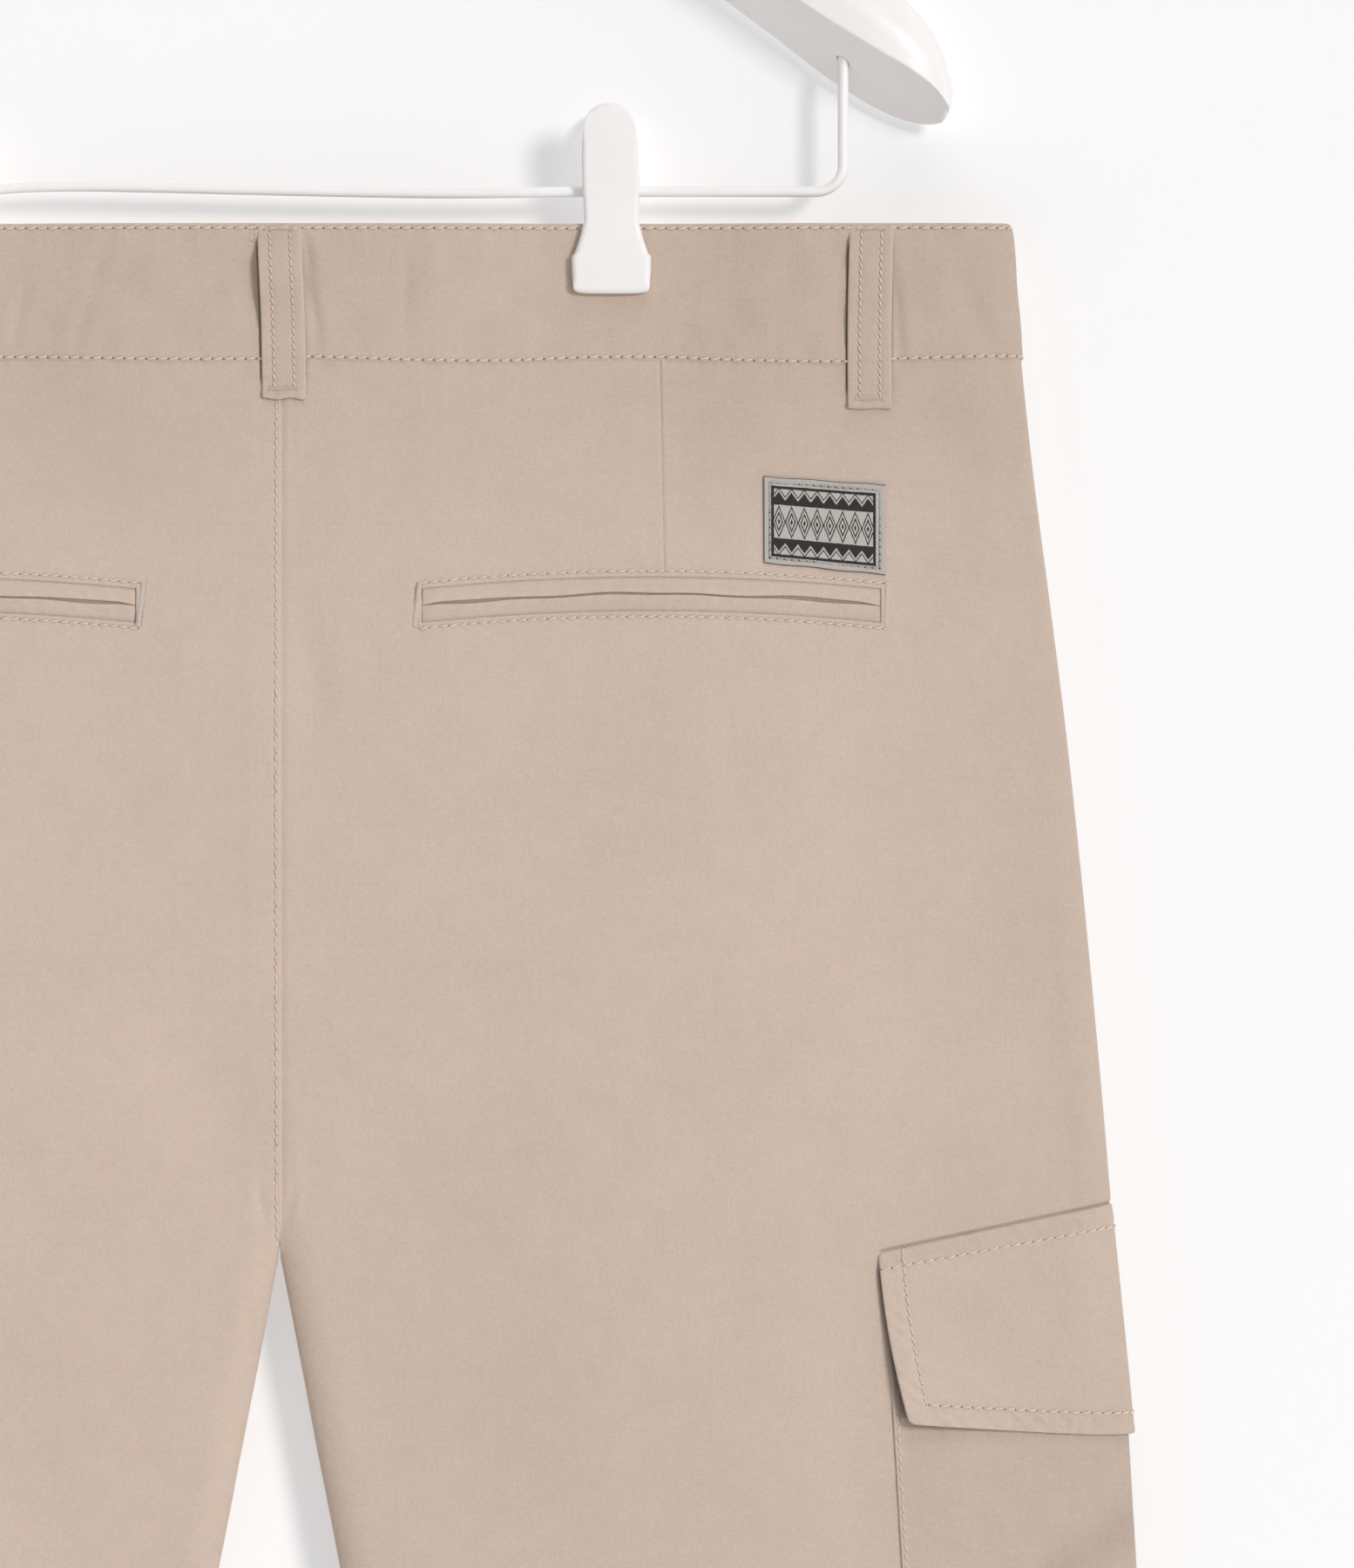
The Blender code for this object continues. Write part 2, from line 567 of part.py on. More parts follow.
def make_hanger_arms(parent):
    """One broad-shouldered body, with sockets for the clip bar's ends and for the hook."""
    reach = ARM[-1].x
    half = np.linspace(0, 1, round(reach / ARM_STEPS)) ** 0.8 * reach
    stations = np.concatenate([-half[:0:-1], half])
    sections = []
    for x in stations:
        crease, drop, face, depth = (
            float(smooth(ARM, column, "x", abs(x))) for column in ("crease", "drop", "face", "depth")
        )
        sections.append(
            [(x, p.y * depth / 2, WAIST_Z + crease + p.up * face - p.down * drop) for p in ARM_POINTS]
        )
    arms = add_object("hanger_arms", lofted("hanger_arms", sections), "white_wood", WHITE_WOOD, parent)
    socket = BAR_WIRE + SOCKET_CLEARANCE
    bar_top = WAIST_Z + BAR_END_HEIGHT + SOCKET_CLEARANCE
    length = 40 * MM
    holes = [
        (socket, length, Vector((side * BAR_HALF_WIDTH, 0, bar_top - length / 2)), (0, 0, 1), 12)
        for side in (-1, 1)
    ]
    stem_foot = Vector((0, 0, HUB_TOP - WIRE_SOCKET_DEPTH - SOCKET_CLEARANCE + length / 2))
    holes.append((HOOK_WIRE + SOCKET_CLEARANCE, length, stem_foot, (0, 0, 1), 12))
    boolean(arms, cutter("hanger_sockets", holes, parent), "DIFFERENCE")
    return arms


def make_wire(name, points, radius, parent):
    """A round wire along a line of points."""
    curve = bpy.data.curves.new(name, "CURVE")
    curve.dimensions = "3D"
    curve.bevel_depth = radius
    curve.bevel_resolution = 2
    curve.use_fill_caps = True
    spline = curve.splines.new("POLY")
    spline.points.add(len(points) - 1)
    for spot, (x, z) in zip(spline.points, points):
        spot.co = (x, 0, z, 1)
    return add_object(name, curve, "white_wire", WHITE_WIRE, parent)


def bezier(p0, p1, p2, p3, steps):
    """Points on a cubic curve, without its last one."""
    t = np.arange(steps)[:, None] / steps
    p0, p1, p2, p3 = map(np.array, (p0, p1, p2, p3))
    return (1 - t) ** 3 * p0 + 3 * t * (1 - t) ** 2 * p1 + 3 * t**2 * (1 - t) * p2 + t**3 * p3


def hook_points():
    """The hook's centreline in X and Z, from its foot in the hub to its tip. Its inner top is the origin."""
    radius = HOOK_INNER_RADIUS + HOOK_WIRE
    centre = np.array([0, -HOOK_INNER_RADIUS])
    angles = np.radians(np.linspace(HOOK_JOIN_ANGLE, HOOK_TIP_ANGLE, 25))
    round_part = centre + radius * np.stack([np.cos(angles), np.sin(angles)], -1)
    join = round_part[0]
    heading = np.array([-math.sin(angles[0]), math.cos(angles[0])])
    handle = 9 * MM
    bend = bezier((0, HOOK_STEM_TOP), (0, HOOK_STEM_TOP + handle), join - handle * heading, join, 6)
    foot = [(0, HUB_TOP - WIRE_SOCKET_DEPTH)]
    return np.vstack([foot, bend, round_part])


def bar_points():
    """The clip bar's centreline in X and Z: up into the arm, a bend, then across with its middle raised."""
    angles = np.radians(np.linspace(90, 0, 6))
    corner = np.array([BAR_HALF_WIDTH - BAR_BEND, WAIST_Z + BAR_HEIGHT + BAR_BEND])
    bend = corner + BAR_BEND * np.stack([np.cos(angles), -np.sin(angles)], -1)
    x = np.linspace(0, CLIP_X, 6)
    middle = np.stack([x, WAIST_Z + BAR_HEIGHT + BAR_RISE * (1 - (x / CLIP_X) ** 2)], -1)
    end = [(BAR_HALF_WIDTH, WAIST_Z + BAR_END_HEIGHT)]
    half = np.vstack([middle, bend, end])
    return np.vstack([half[:0:-1] * (-1, 1), half])


def make_jaw(side, face, parent):
    """One jaw of a clip: a lever above the bar and a broad pad below it, with two ears on the bar."""
    name = f"clip_jaw_{'back' if face < 0 else 'front'}_{'right' if side > 0 else 'left'}"
    middle = side * CLIP_X
    sections = []
    for row in JAW:
        w, cut = row.half_width, JAW_CHAMFER
        outline = [
            (-w, row.inner),
            (-w, row.outer - cut),
            (cut - w, row.outer),
            (w - cut, row.outer),
            (w, row.outer - cut),
            (w, row.inner),
        ]
        sections.append([(middle + x, face * y, WAIST_Z + row.height) for x, y in outline])
    jaw = add_object(name, lofted(name, sections), "white_plastic", WHITE_WOOD, parent)
    bar_z = WAIST_Z + BAR_HEIGHT
    for end in (-1, 1):
        x = middle + end * EAR_OFFSET[face]
        ear = make_ear(f"{name}_ear_{end + 1}", x, face, bar_z, parent)
        boolean(jaw, ear, "UNION")
    bore = [(BAR_WIRE + SOCKET_CLEARANCE, 30 * MM, Vector((middle, 0, bar_z)), (1, 0, 0), 12)]
    boolean(jaw, cutter(f"{name}_bore", bore, parent), "DIFFERENCE")
    return jaw


def make_ear(name, x, face, bar_z, parent):
    """A plate from the jaw to round the bar, as a helper."""
    angles = np.radians(np.linspace(-90, 90, 9))
    outline = [(-face * EAR_RADIUS * math.cos(a), EAR_RADIUS * math.sin(a)) for a in angles]
    outline += [(face * EAR_ROOT, EAR_RADIUS), (face * EAR_ROOT, -EAR_RADIUS)]
    sections = [[(x + s * EAR_WALL / 2, y, bar_z + z) for y, z in outline] for s in (-1, 1)]
    ear = add_object(name, lofted(name, sections), "white_plastic", WHITE_WOOD, parent)
    ear.hide_render = True
    ear.display_type = "WIRE"
    return ear


def make_spring(side, parent):
    """The clip's coil spring, round the bar between the ears."""
    name = f"clip_spring_{'right' if side > 0 else 'left'}"
    centre = Vector((side * CLIP_X, 0, WAIST_Z + BAR_HEIGHT))
    bm = bmesh.new()
    cylinder(bm, SPRING_OUTER, SPRING_LENGTH, centre, (1, 0, 0), 16)
    spring = add_object(name, mesh_of(bm, name), "spring_steel", SPRING_STEEL, parent)
    bore = [(BAR_WIRE + SOCKET_CLEARANCE, 30 * MM, centre, (1, 0, 0), 12)]
    boolean(spring, cutter(f"{name}_bore", bore, parent), "DIFFERENCE")
    return spring


def main():
    clear_scene()
    shorts = bpy.data.objects.new("shorts", None)
    hanger = bpy.data.objects.new("hanger", None)
    for empty in (shorts, hanger):
        bpy.context.scene.collection.objects.link(empty)
    for side in (-1, 1):
        for face in (-1, 1):
            make_panel(side, face, shorts)
        make_waistband(side, shorts)
        for place in (-1, 1):
            make_welt(side, place, shorts)
        make_cargo_pocket(side, shorts)
        make_cargo_flap(side, shorts)
    for loop in LOOPS:
        make_belt_loop(loop, shorts)
    make_label(shorts)
    make_zip(shorts)
    make_button(shorts)
    make_hanger_arms(hanger)
    make_wire("hanger_hook", hook_points(), HOOK_WIRE, hanger)
    make_wire("clip_bar", bar_points(), BAR_WIRE, hanger)
    for side in (-1, 1):
        for face in (-1, 1):
            make_jaw(side, face, hanger)
        make_spring(side, hanger)


main()
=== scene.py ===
# Looks of cargo bermuda shorts that hang flat from a clip hanger, with the seat side to the camera.
# Metres, in the part's own frame: a rail carries the hook at the origin, +Z is up, -Y is the seat side,
# +Y the fly side and +X the wearer's right. A drop is a distance down from the waistband's top edge.

import math

import bpy
import numpy as np
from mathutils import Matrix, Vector


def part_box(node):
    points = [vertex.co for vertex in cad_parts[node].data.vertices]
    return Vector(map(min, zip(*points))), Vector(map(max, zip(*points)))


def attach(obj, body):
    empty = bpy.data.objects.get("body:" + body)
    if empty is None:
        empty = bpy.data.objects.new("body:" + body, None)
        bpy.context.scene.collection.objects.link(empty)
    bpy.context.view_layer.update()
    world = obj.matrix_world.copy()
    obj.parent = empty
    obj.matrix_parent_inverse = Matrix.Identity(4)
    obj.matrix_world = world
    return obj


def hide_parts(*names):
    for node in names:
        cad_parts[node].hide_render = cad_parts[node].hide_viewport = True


mm = 0.001
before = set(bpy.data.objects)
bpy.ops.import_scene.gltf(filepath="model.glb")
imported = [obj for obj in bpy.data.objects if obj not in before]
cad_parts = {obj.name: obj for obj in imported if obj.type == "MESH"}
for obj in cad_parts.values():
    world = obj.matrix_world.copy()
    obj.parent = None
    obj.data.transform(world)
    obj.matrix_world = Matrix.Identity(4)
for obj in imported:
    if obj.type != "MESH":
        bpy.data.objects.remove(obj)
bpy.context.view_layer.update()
print("frame loaded")


# ---- helpers

def addObject(name, data):
    made = bpy.data.objects.new(name, data)
    bpy.context.scene.collection.objects.link(made)
    return made


def sideName(side):
    return "right" if side > 0 else "left"


def faceName(face):
    return "back" if face < 0 else "front"


def nearest(values, value):  # index of the closest one
    return int(np.argmin(abs(values - value)))


def unit(vectors):
    return vectors / np.linalg.norm(vectors, axis=-1, keepdims=True)


def circle(count, one, other):
    # Points round a circle of radius 1, in the plane of two directions that are square to each other.
    turn = np.arange(count) * 2 * math.pi / count
    return np.cos(turn)[:, None] * one[..., None, :] + np.sin(turn)[:, None] * other[..., None, :]


def distinct(places, gap=1e-9):  # sorted, with near doubles dropped
    places = np.sort(places)
    return places[np.concatenate([[True], np.diff(places) > gap])]


def spaced(*ranges):
    # Sorted places from (start, stop, step) ranges, all in millimetres.
    return distinct(np.concatenate([np.arange(a, b + c / 2, c) for a, b, c in ranges]), 1e-4) * mm


def ease(t):  # 0 up to 0, 1 from 1 on, with a smooth step between
    t = np.clip(t, 0, 1)
    return t * t * (3 - 2 * t)


def hump(t):  # 1 at 0, fading to 0 on both sides
    return np.exp(-t * t)


def halfRound(border, half):  # from 0 at a wall's border to 1 at half its thickness, along a circle
    return np.sqrt(1 - (1 - np.clip(border / half, 0, 1)) ** 2)


def curveThrough(keys, values, at):
    # Cubic curve through a table's rows, with slopes from its neighbours.
    keys, values = np.asarray(keys, float), np.asarray(values, float)
    slopes = np.gradient(values, keys)
    at = np.clip(at, keys[0], keys[-1])
    i = np.clip(np.searchsorted(keys, at, side="right") - 1, 0, len(keys) - 2)
    span = keys[i + 1] - keys[i]
    t = (at - keys[i]) / span
    start = values[i] * (1 + 2 * t) + slopes[i] * span * t
    end = values[i + 1] * (3 - 2 * t) - slopes[i + 1] * span * (1 - t)
    return start * (1 - t) ** 2 + end * t**2


# ---- camera: the photo's frame, seen square on through a long lens

view = dict(
    photo=(1554, 1800),  # pixels
    pixel=0.26 * mm,  # what one of them covers at the cloth
    centrePixel=321,  # column of the shorts' middle
    waistPixel=257,  # row of the waistband's top edge
    distance=3.2,
    sensor=36,
)
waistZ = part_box("waistband_right")[1][2]


def makeCamera():
    width, height = view["photo"]
    across = (width / 2 - view["centrePixel"]) * view["pixel"]
    up = waistZ - (height / 2 - view["waistPixel"]) * view["pixel"]
    data = bpy.data.cameras.new("camera")
    data.sensor_width = view["sensor"]
    data.lens = view["sensor"] * view["distance"] / (height * view["pixel"])
    camera = bpy.context.scene.camera = addObject("camera", data)
    camera.location = (across, -view["distance"], up)
    camera.rotation_euler = (math.pi / 2, 0, 0)


makeCamera()


# ---- shader maths: a Wire is a socket that Python's operators work on

def wireMaths(operation, *values):
    owner = next(v.owner for v in values if isinstance(v, Wire))
    return owner.node("Math", {"operation": operation}, dict(enumerate(values)))


class Wire:
    def __init__(self, owner, socket):
        self.owner, self.socket = owner, socket

    def __add__(self, other):
        return wireMaths("ADD", self, other)

    def __sub__(self, other):
        return wireMaths("SUBTRACT", self, other)

    def __mul__(self, other):
        return wireMaths("MULTIPLY", self, other)

    def __truediv__(self, other):
        return wireMaths("DIVIDE", self, other)

    def __lt__(self, other):
        return wireMaths("LESS_THAN", self, other)

    def __gt__(self, other):
        return wireMaths("GREATER_THAN", self, other)

    def sine(self):
        return wireMaths("SINE", self)

    def size(self):
        return wireMaths("ABSOLUTE", self)

    def most(self, other):
        return wireMaths("MAXIMUM", self, other)

    def within(self, low, high):  # 0 at low, 1 at high, with a smooth step between
        sockets = {"Value": self, "From Min": low, "From Max": high}
        return self.owner.node("MapRange", {"interpolation_type": "SMOOTHSTEP"}, sockets)

    def wave(self, period):  # a triangle wave from 0 to 1
        return wireMaths("PINGPONG", self, period / 2) / (period / 2)


class Finish:
    def __init__(self, name):
        self.material = bpy.data.materials.new(name)
        self.material.use_nodes = True
        self.tree = self.material.node_tree
        self.surface = self.tree.nodes["Principled BSDF"]

    def feed(self, socket, value):
        if isinstance(value, Wire):
            self.tree.links.new(value.socket, socket)
        else:
            socket.default_value = value

    def node(self, kind, settings=None, sockets=None, out=0):
        made = self.tree.nodes.new("ShaderNode" + kind)
        for key, value in (settings or {}).items():
            if key == "stops":
                for element, (place, colour) in zip(made.color_ramp.elements, value):
                    element.position, element.color = place, colour
            else:
                setattr(made, key, value)
        for key, value in (sockets or {}).items():
            self.feed(made.inputs[key], value)
        return Wire(self, made.outputs[out])

    def mix(self, one, two, factor):
        return self.node("Mix", {"data_type": "RGBA"}, {0: factor, 6: one, 7: two}, out=2)

    def clothPlace(self):  # the piece's own UV map, and its u and v
        place = self.node("UVMap", {"uv_map": "cloth"})
        u = self.node("SeparateXYZ", None, {"Vector": place})
        return place, u, Wire(self, u.socket.node.outputs[1])

    def objectPlace(self):
        return self.node("TexCoord", out=3)

    def noise(self, vector, scale, detail=2.0, roughness=0.5):
        sockets = {"Vector": vector, "Scale": scale, "Detail": detail, "Roughness": roughness}
        return self.node("TexNoise", None, sockets)

    def stretched(self, vector, scale):
        return self.node("Mapping", {"vector_type": "POINT"}, {"Vector": vector, "Scale": scale})

    def bump(self, height, distance, under=None):
        sockets = {"Height": height, "Distance": distance, "Strength": 1.0}
        return self.node("Bump", None, {**sockets, "Normal": under} if under else sockets)

    def finished(self, **sockets):
        for name, value in sockets.items():
            self.feed(self.surface.inputs[name.replace("_", " ")], value)
        return self.material


def rgba(red, green, blue):
    return (red, green, blue, 1.0)


# ---- finishes

cloth = dict(
    light=rgba(0.646, 0.521, 0.435),
    dark=rgba(0.519, 0.413, 0.343),
    worn=rgba(0.690, 0.565, 0.480),
    deep=rgba(0.046, 0.026, 0.015),  # mostly painted shade, mixed in by the piece's tone attribute
    walePitch=0.56,  # mm across the twill's diagonal lines
    waleSlope=(0.77, 0.64),  # their direction down and out, as shares across and down
    weaveBump=0.045 * mm,
    softBump=0.08 * mm,  # the washed cloth's broader unevenness
    yarnPitch=0.85,  # mm between the yarns that show, down and across
    holeShade=rgba(0.15, 0.105, 0.078),  # painted shadow: the dark that the cloth at a needle hole turns towards
)


def twillFinish(name="washedTwill", deep=1.0):
    # The piece's UV map holds millimetres: u from the middle of the shorts, v down. Wales run down and out.
    f = Finish(name)
    place, u, v = f.clothPlace()
    down, across = cloth["waleSlope"]
    wander = (f.noise(place, 0.16, 2) - 0.5) * 1.1
    wale = ((u * down - v * across) / cloth["walePitch"] + wander) * (2 * math.pi)
    patch = f.noise(place, 0.14, 3, 0.6).within(0.42, 0.66)  # the lines show more in some places
    broken = f.noise(place, 0.9, 1).within(0.30, 0.62)
    wale = wale.sine() * (patch * 0.8 + 0.2) * broken
    thick, long = 1 / cloth["yarnPitch"], 0.42 / cloth["yarnPitch"]
    ends = f.noise(f.stretched(place, (thick, long, 1)), 1.0, 2, 0.6)
    picks = f.noise(f.stretched(place, (long, thick * 0.8, 1)), 1.0, 2, 0.6)
    streak = f.noise(f.stretched(place, (1.3, 0.14, 1)), 0.40, 3, 0.6)
    slub = f.noise(f.stretched(place, (0.13, 1.2, 1)), 0.42, 3, 0.6)
    cloud = f.noise(place, 0.11, 2)
    mottle = f.noise(place, 0.022, 3, 0.55)
    grain = f.noise(place, 1.7, 2, 0.6)
    shade = (ends + picks + grain * 2.0 - 2.0) * 0.62 + (streak + slub - 1.0) * 0.18
    shade = shade + (cloud - 0.5) * 0.30 + (mottle - 0.5) * 0.50 + wale * 0.16 + 0.5
    colour = f.mix(cloth["dark"], cloth["light"], shade)
    worn = f.node("Attribute", {"attribute_name": "edge"}, out=2)
    worn = worn * (f.noise(place, 0.5, 2) * 0.8 + 0.2)
    colour = f.mix(colour, cloth["worn"], worn * 0.55)
    # Painted shade: the tone attribute draws the colour towards the deep brown in creases, gaps and shadow lines.
    colour = f.mix(colour, cloth["deep"], f.node("Attribute", {"attribute_name": "tone"}, out=2))
    # Painted shadow: a deep below 1 draws the colour towards the dark hole shade, for needle holes.
    if deep < 1:
        colour = f.mix(colour, cloth["holeShade"], 1 - deep)
    rough = grain * 0.1 + 0.85
    soft = f.bump(streak + slub + cloud * 1.5, cloth["softBump"])
    weave = wale * 0.5 + ends * 0.9 + picks * 0.9 + grain * 0.8
    return f.finished(
        Base_Color=colour, Roughness=rough, Normal=f.bump(weave, cloth["weaveBump"], soft),
        Sheen_Weight=0.12, Sheen_Roughness=0.5, Specular_IOR_Level=0.15,
    )


def threadFinish(name, light, dark):
    # Two plies twist along a stitch: its UV map's u runs along it and v round it.
    f = Finish(name)
    u, v = f.clothPlace()[1:]
    ply = ((u * 2.6 + v * 2.0) * (2 * math.pi)).sine() * 0.5 + 0.5
    varied = f.noise(f.objectPlace(), 900, 2)
    return f.finished(
        Base_Color=f.mix(dark, light, ply * 0.5 + varied * 0.5), Roughness=varied * 0.2 + 0.55,
        Normal=f.bump(ply, 0.02 * mm), Sheen_Weight=0.2,
    )


def paintedFinish(name, colour, shade, roughness, ripple, coat=0.0):
    # A smooth coat: faint unevenness of colour and gloss, and a shallow ripple.
    f = Finish(name)
    body = f.objectPlace()
    broad, fine = f.noise(body, 24, 3), f.noise(body, 420, 3, 0.6)
    tone = (broad * 0.65 + fine * 0.35).within(0.3, 0.7)
    return f.finished(
        Base_Color=f.mix(shade, colour, tone), Roughness=fine * 0.12 + (roughness - 0.06),
        Coat_Weight=broad * coat, Normal=f.bump(broad * 3.0 + fine * 0.25, ripple),
        Specular_IOR_Level=0.35, Coat_Roughness=0.25,
    )


def labelFinish():
    # A grey woven ground with black threads: a line frame, zigzags and a row of nested diamonds.
    # The UV map holds millimetres from the label's middle.
    f = Finish("wovenLabel")
    place, straightU, straightV = f.clothPlace()
    u = straightU + (f.noise(place, 0.9, 2) - 0.5) * 0.35 + 0.35
    v = straightV + (f.noise(place, 1.1, 2) - 0.5) * 0.35 - 0.2
    frameGap = (u.size() - 15.15).most(v.size() - 10.3)
    inside = frameGap < 0
    lines = frameGap.size() < 0.42
    peaks = (v.size() - 7.7) - (u.wave(3.8) - 0.5) * 2.6
    teeth = (peaks < 0.0) * (v.size() > 5.4)
    echo = (peaks - 1.05).size() < 0.24
    rules = (v.size() - 5.3).size() < 0.26
    nested = (u.wave(7.58) - 0.5).size() * 2 + v.size() / 4.7
    diamonds = ((nested - 0.97).size() < 0.085).most((nested - 0.56).size() < 0.095).most(nested < 0.20)
    middle = v.size() < 5.2
    # Painted shadow: a thin dark line at the left, top and bottom edges, mixed in with the black threads.
    rim = (straightV.size() > 12.95).most(straightU < -17.9)
    inkAndEdgeShadow = lines.most(inside * teeth.most(echo).most(rules).most(diamonds * middle)).most(rim * 0.75)
    weft = (v * (2 * math.pi / 0.30)).sine() * 0.5 + 0.5
    warp = (u * (2 * math.pi / 0.38)).sine() * 0.5 + 0.5
    grain = f.noise(place, 2.2, 2)
    ground = f.mix(rgba(0.405, 0.37, 0.345), rgba(0.52, 0.48, 0.45), weft * 0.25 + warp * 0.2 + grain * 0.55)
    ground = f.mix(ground, rgba(0.47, 0.455, 0.42), inside * 0.5)
    black = f.mix(rgba(0.008, 0.007, 0.006), rgba(0.028, 0.025, 0.023), weft * 0.5 + grain * 0.5)
    height = weft * 0.5 + warp * 0.3 + inkAndEdgeShadow * 1.2
    return f.finished(
        Base_Color=f.mix(ground, black, inkAndEdgeShadow), Roughness=grain * 0.1 + 0.75,
        Normal=f.bump(height, 0.05 * mm), Sheen_Weight=0.03,
    )


def hornFinish():
    # Polished horn: pale streaks and cloudy rings in dark brown.
    f = Finish("hornButton")
    body = f.objectPlace()
    swirl = f.noise(f.stretched(body, (1, 1, 0.35)), 260, 4, 0.6)
    cloud = f.noise(body, 90, 3)
    tone = (swirl * 0.7 + cloud * 0.3).within(0.36, 0.64)
    return f.finished(
        Base_Color=f.mix(rgba(0.085, 0.048, 0.026), rgba(0.36, 0.245, 0.150), tone),
        Roughness=cloud * 0.15 + 0.25, Coat_Weight=swirl * 0.3 + 0.3, Normal=f.bump(swirl, 0.02 * mm),
        Coat_Roughness=0.08,
    )


def metalFinish(name, light, dark, roughness):
    # Bare drawn metal, with fine marks and slightly dulled patches.
    f = Finish(name)
    body = f.objectPlace()
    marks, dull = f.noise(body, 1500, 3, 0.7), f.noise(body, 160, 2)
    return f.finished(
        Base_Color=f.mix(dark, light, marks * 0.5 + dull * 0.5), Metallic=dull * 0.1 + 0.9,
        Roughness=marks * 0.15 + dull * 0.1 + (roughness - 0.12), Normal=f.bump(marks, 0.01 * mm),
    )


def tapeFinish():
    # Ribbed woven tape. The UV map holds millimetres.
    f = Finish("zipTape")
    place, u, v = f.clothPlace()
    rib = (u * (2 * math.pi / 0.9)).sine() * 0.5 + 0.5
    pick = (v * (2 * math.pi / 0.5)).sine() * 0.5 + 0.5
    grain = f.noise(place, 1.5, 2)
    tone = rib * 0.35 + pick * 0.2 + grain * 0.45
    return f.finished(
        Base_Color=f.mix(rgba(0.36, 0.29, 0.24), rgba(0.52, 0.43, 0.36), tone),
        Roughness=grain * 0.1 + 0.8, Normal=f.bump(rib + pick * 0.5, 0.08 * mm),
    )


finishes = dict(
    twill=twillFinish(),
    label=labelFinish(),
    horn=hornFinish(),
    steel=metalFinish("springSteel", rgba(0.62, 0.62, 0.63), rgba(0.40, 0.40, 0.41), 0.30),
    brass=metalFinish("zipBrass", rgba(0.66, 0.52, 0.30), rgba(0.44, 0.33, 0.17), 0.34),
    tape=tapeFinish(),
    # painted shadow for the needle holes: the twill drawn towards the dark hole shade
    inside=twillFinish("needleHoleShadow", 0.34),
    thread=threadFinish("beigeThread", rgba(0.79, 0.675, 0.585), rgba(0.62, 0.515, 0.44)),
    tackThread=threadFinish("tackThread", rgba(0.75, 0.66, 0.60), rgba(0.56, 0.475, 0.42)),
    greyThread=threadFinish("greyThread", rgba(0.50, 0.475, 0.46), rgba(0.27, 0.255, 0.245)),
    # and painted shadow for the label's needle holes
    greyHoleShadows=threadFinish("greyHoleShadows", rgba(0.12, 0.11, 0.10), rgba(0.06, 0.055, 0.05)),
    arms=paintedFinish("lacqueredArms", rgba(0.87, 0.84, 0.83), rgba(0.84, 0.81, 0.80), 0.42, 0.10 * mm, 0.3),
    wire=paintedFinish("coatedWire", rgba(0.90, 0.875, 0.87), rgba(0.86, 0.84, 0.83), 0.38, 0.04 * mm, 0.3),
    jaws=paintedFinish("mouldedJaws", rgba(0.89, 0.865, 0.855), rgba(0.86, 0.835, 0.825), 0.46, 0.03 * mm),
)


# ---- making meshes

def newPiece(name, points, faces, finish, uv=None, worn=None, smooth=True):
    # faces is a list of index arrays, each n by corners. uv and worn, which holds the edge wear and a tone
    # that is mostly painted shade, have a row for each point.
    mesh = bpy.data.meshes.new(name)
    points = np.asarray(points, float).reshape(-1, 3)
    sizes = np.concatenate([np.full(len(f), f.shape[1]) for f in faces])
    corners = np.concatenate([f.ravel() for f in faces])
    mesh.vertices.add(len(points))
    mesh.vertices.foreach_set("co", points.ravel())
    mesh.loops.add(len(corners))
    mesh.loops.foreach_set("vertex_index", corners)
    mesh.polygons.add(len(sizes))
    mesh.polygons.foreach_set("loop_start", np.concatenate([[0], np.cumsum(sizes)[:-1]]))
    mesh.update(calc_edges=True)
    if uv is not None:
        layer = mesh.uv_layers.new(name="cloth")
        layer.uv.foreach_set("vector", np.asarray(uv, float).reshape(-1, 2)[corners].ravel())
    for column, attribute in enumerate(("edge", "tone") if worn is not None else ()):
        layer = mesh.attributes.new(attribute, "FLOAT", "POINT")
        layer.data.foreach_set("value", np.ascontiguousarray(worn[:, column], np.float32))
    if smooth:
        mesh.shade_smooth()
    if mesh.validate():
        raise ValueError(f"{name}: the mesh had faults")
    piece = addObject(name, mesh)
    mesh.materials.append(finishes[finish])
    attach(piece, "root")
    return piece


def gridFaces(rows, columns, wrap=False):
    # Quads of a grid of points. With wrap, the last column joins the first.
    r, c = np.meshgrid(np.arange(rows - 1), np.arange(columns if wrap else columns - 1), indexing="ij")
    d = (c + 1) % columns
    quads = [r * columns + c, r * columns + d, (r + 1) * columns + d, (r + 1) * columns + c]
    return np.stack(quads, -1).reshape(-1, 4)


def chordSums(points, axis):
    # Distance along the rows or the columns of a grid from its start, and from its end.
    steps = np.linalg.norm(np.diff(points, axis=axis), axis=-1)
    pad = [(1, 0) if a == axis else (0, 0) for a in range(2)]
    run = np.pad(np.cumsum(steps, axis=axis), pad)
    return run, run.take([-1], axis=axis) - run


def borderDistance(points):
    return np.minimum.reduce([*chordSums(points, 0), *chordSums(points, 1)])


def paintedShadeAt(points):
    # Painted shade: the cloth is made darker near the waistband, lower down, towards the sides and most along the
    # side fold where it turns away.
    drop, x = waistZ - points[..., 2], abs(points[..., 0])
    high = 1 - ease((drop - 42 * mm) / (62 * mm))
    low = 0.060 * high + 0.032 * high * ease((x - 85 * mm) / (80 * mm))
    low = low + 0.026 * ease((drop - 230 * mm) / (150 * mm))
    edge = outerEdge(drop) - x
    return low + (0.035 * ease((x - 170 * mm) / (50 * mm)) + 0.10 * (1 - ease(edge / (13 * mm)))) * (1 - high * 0.4)


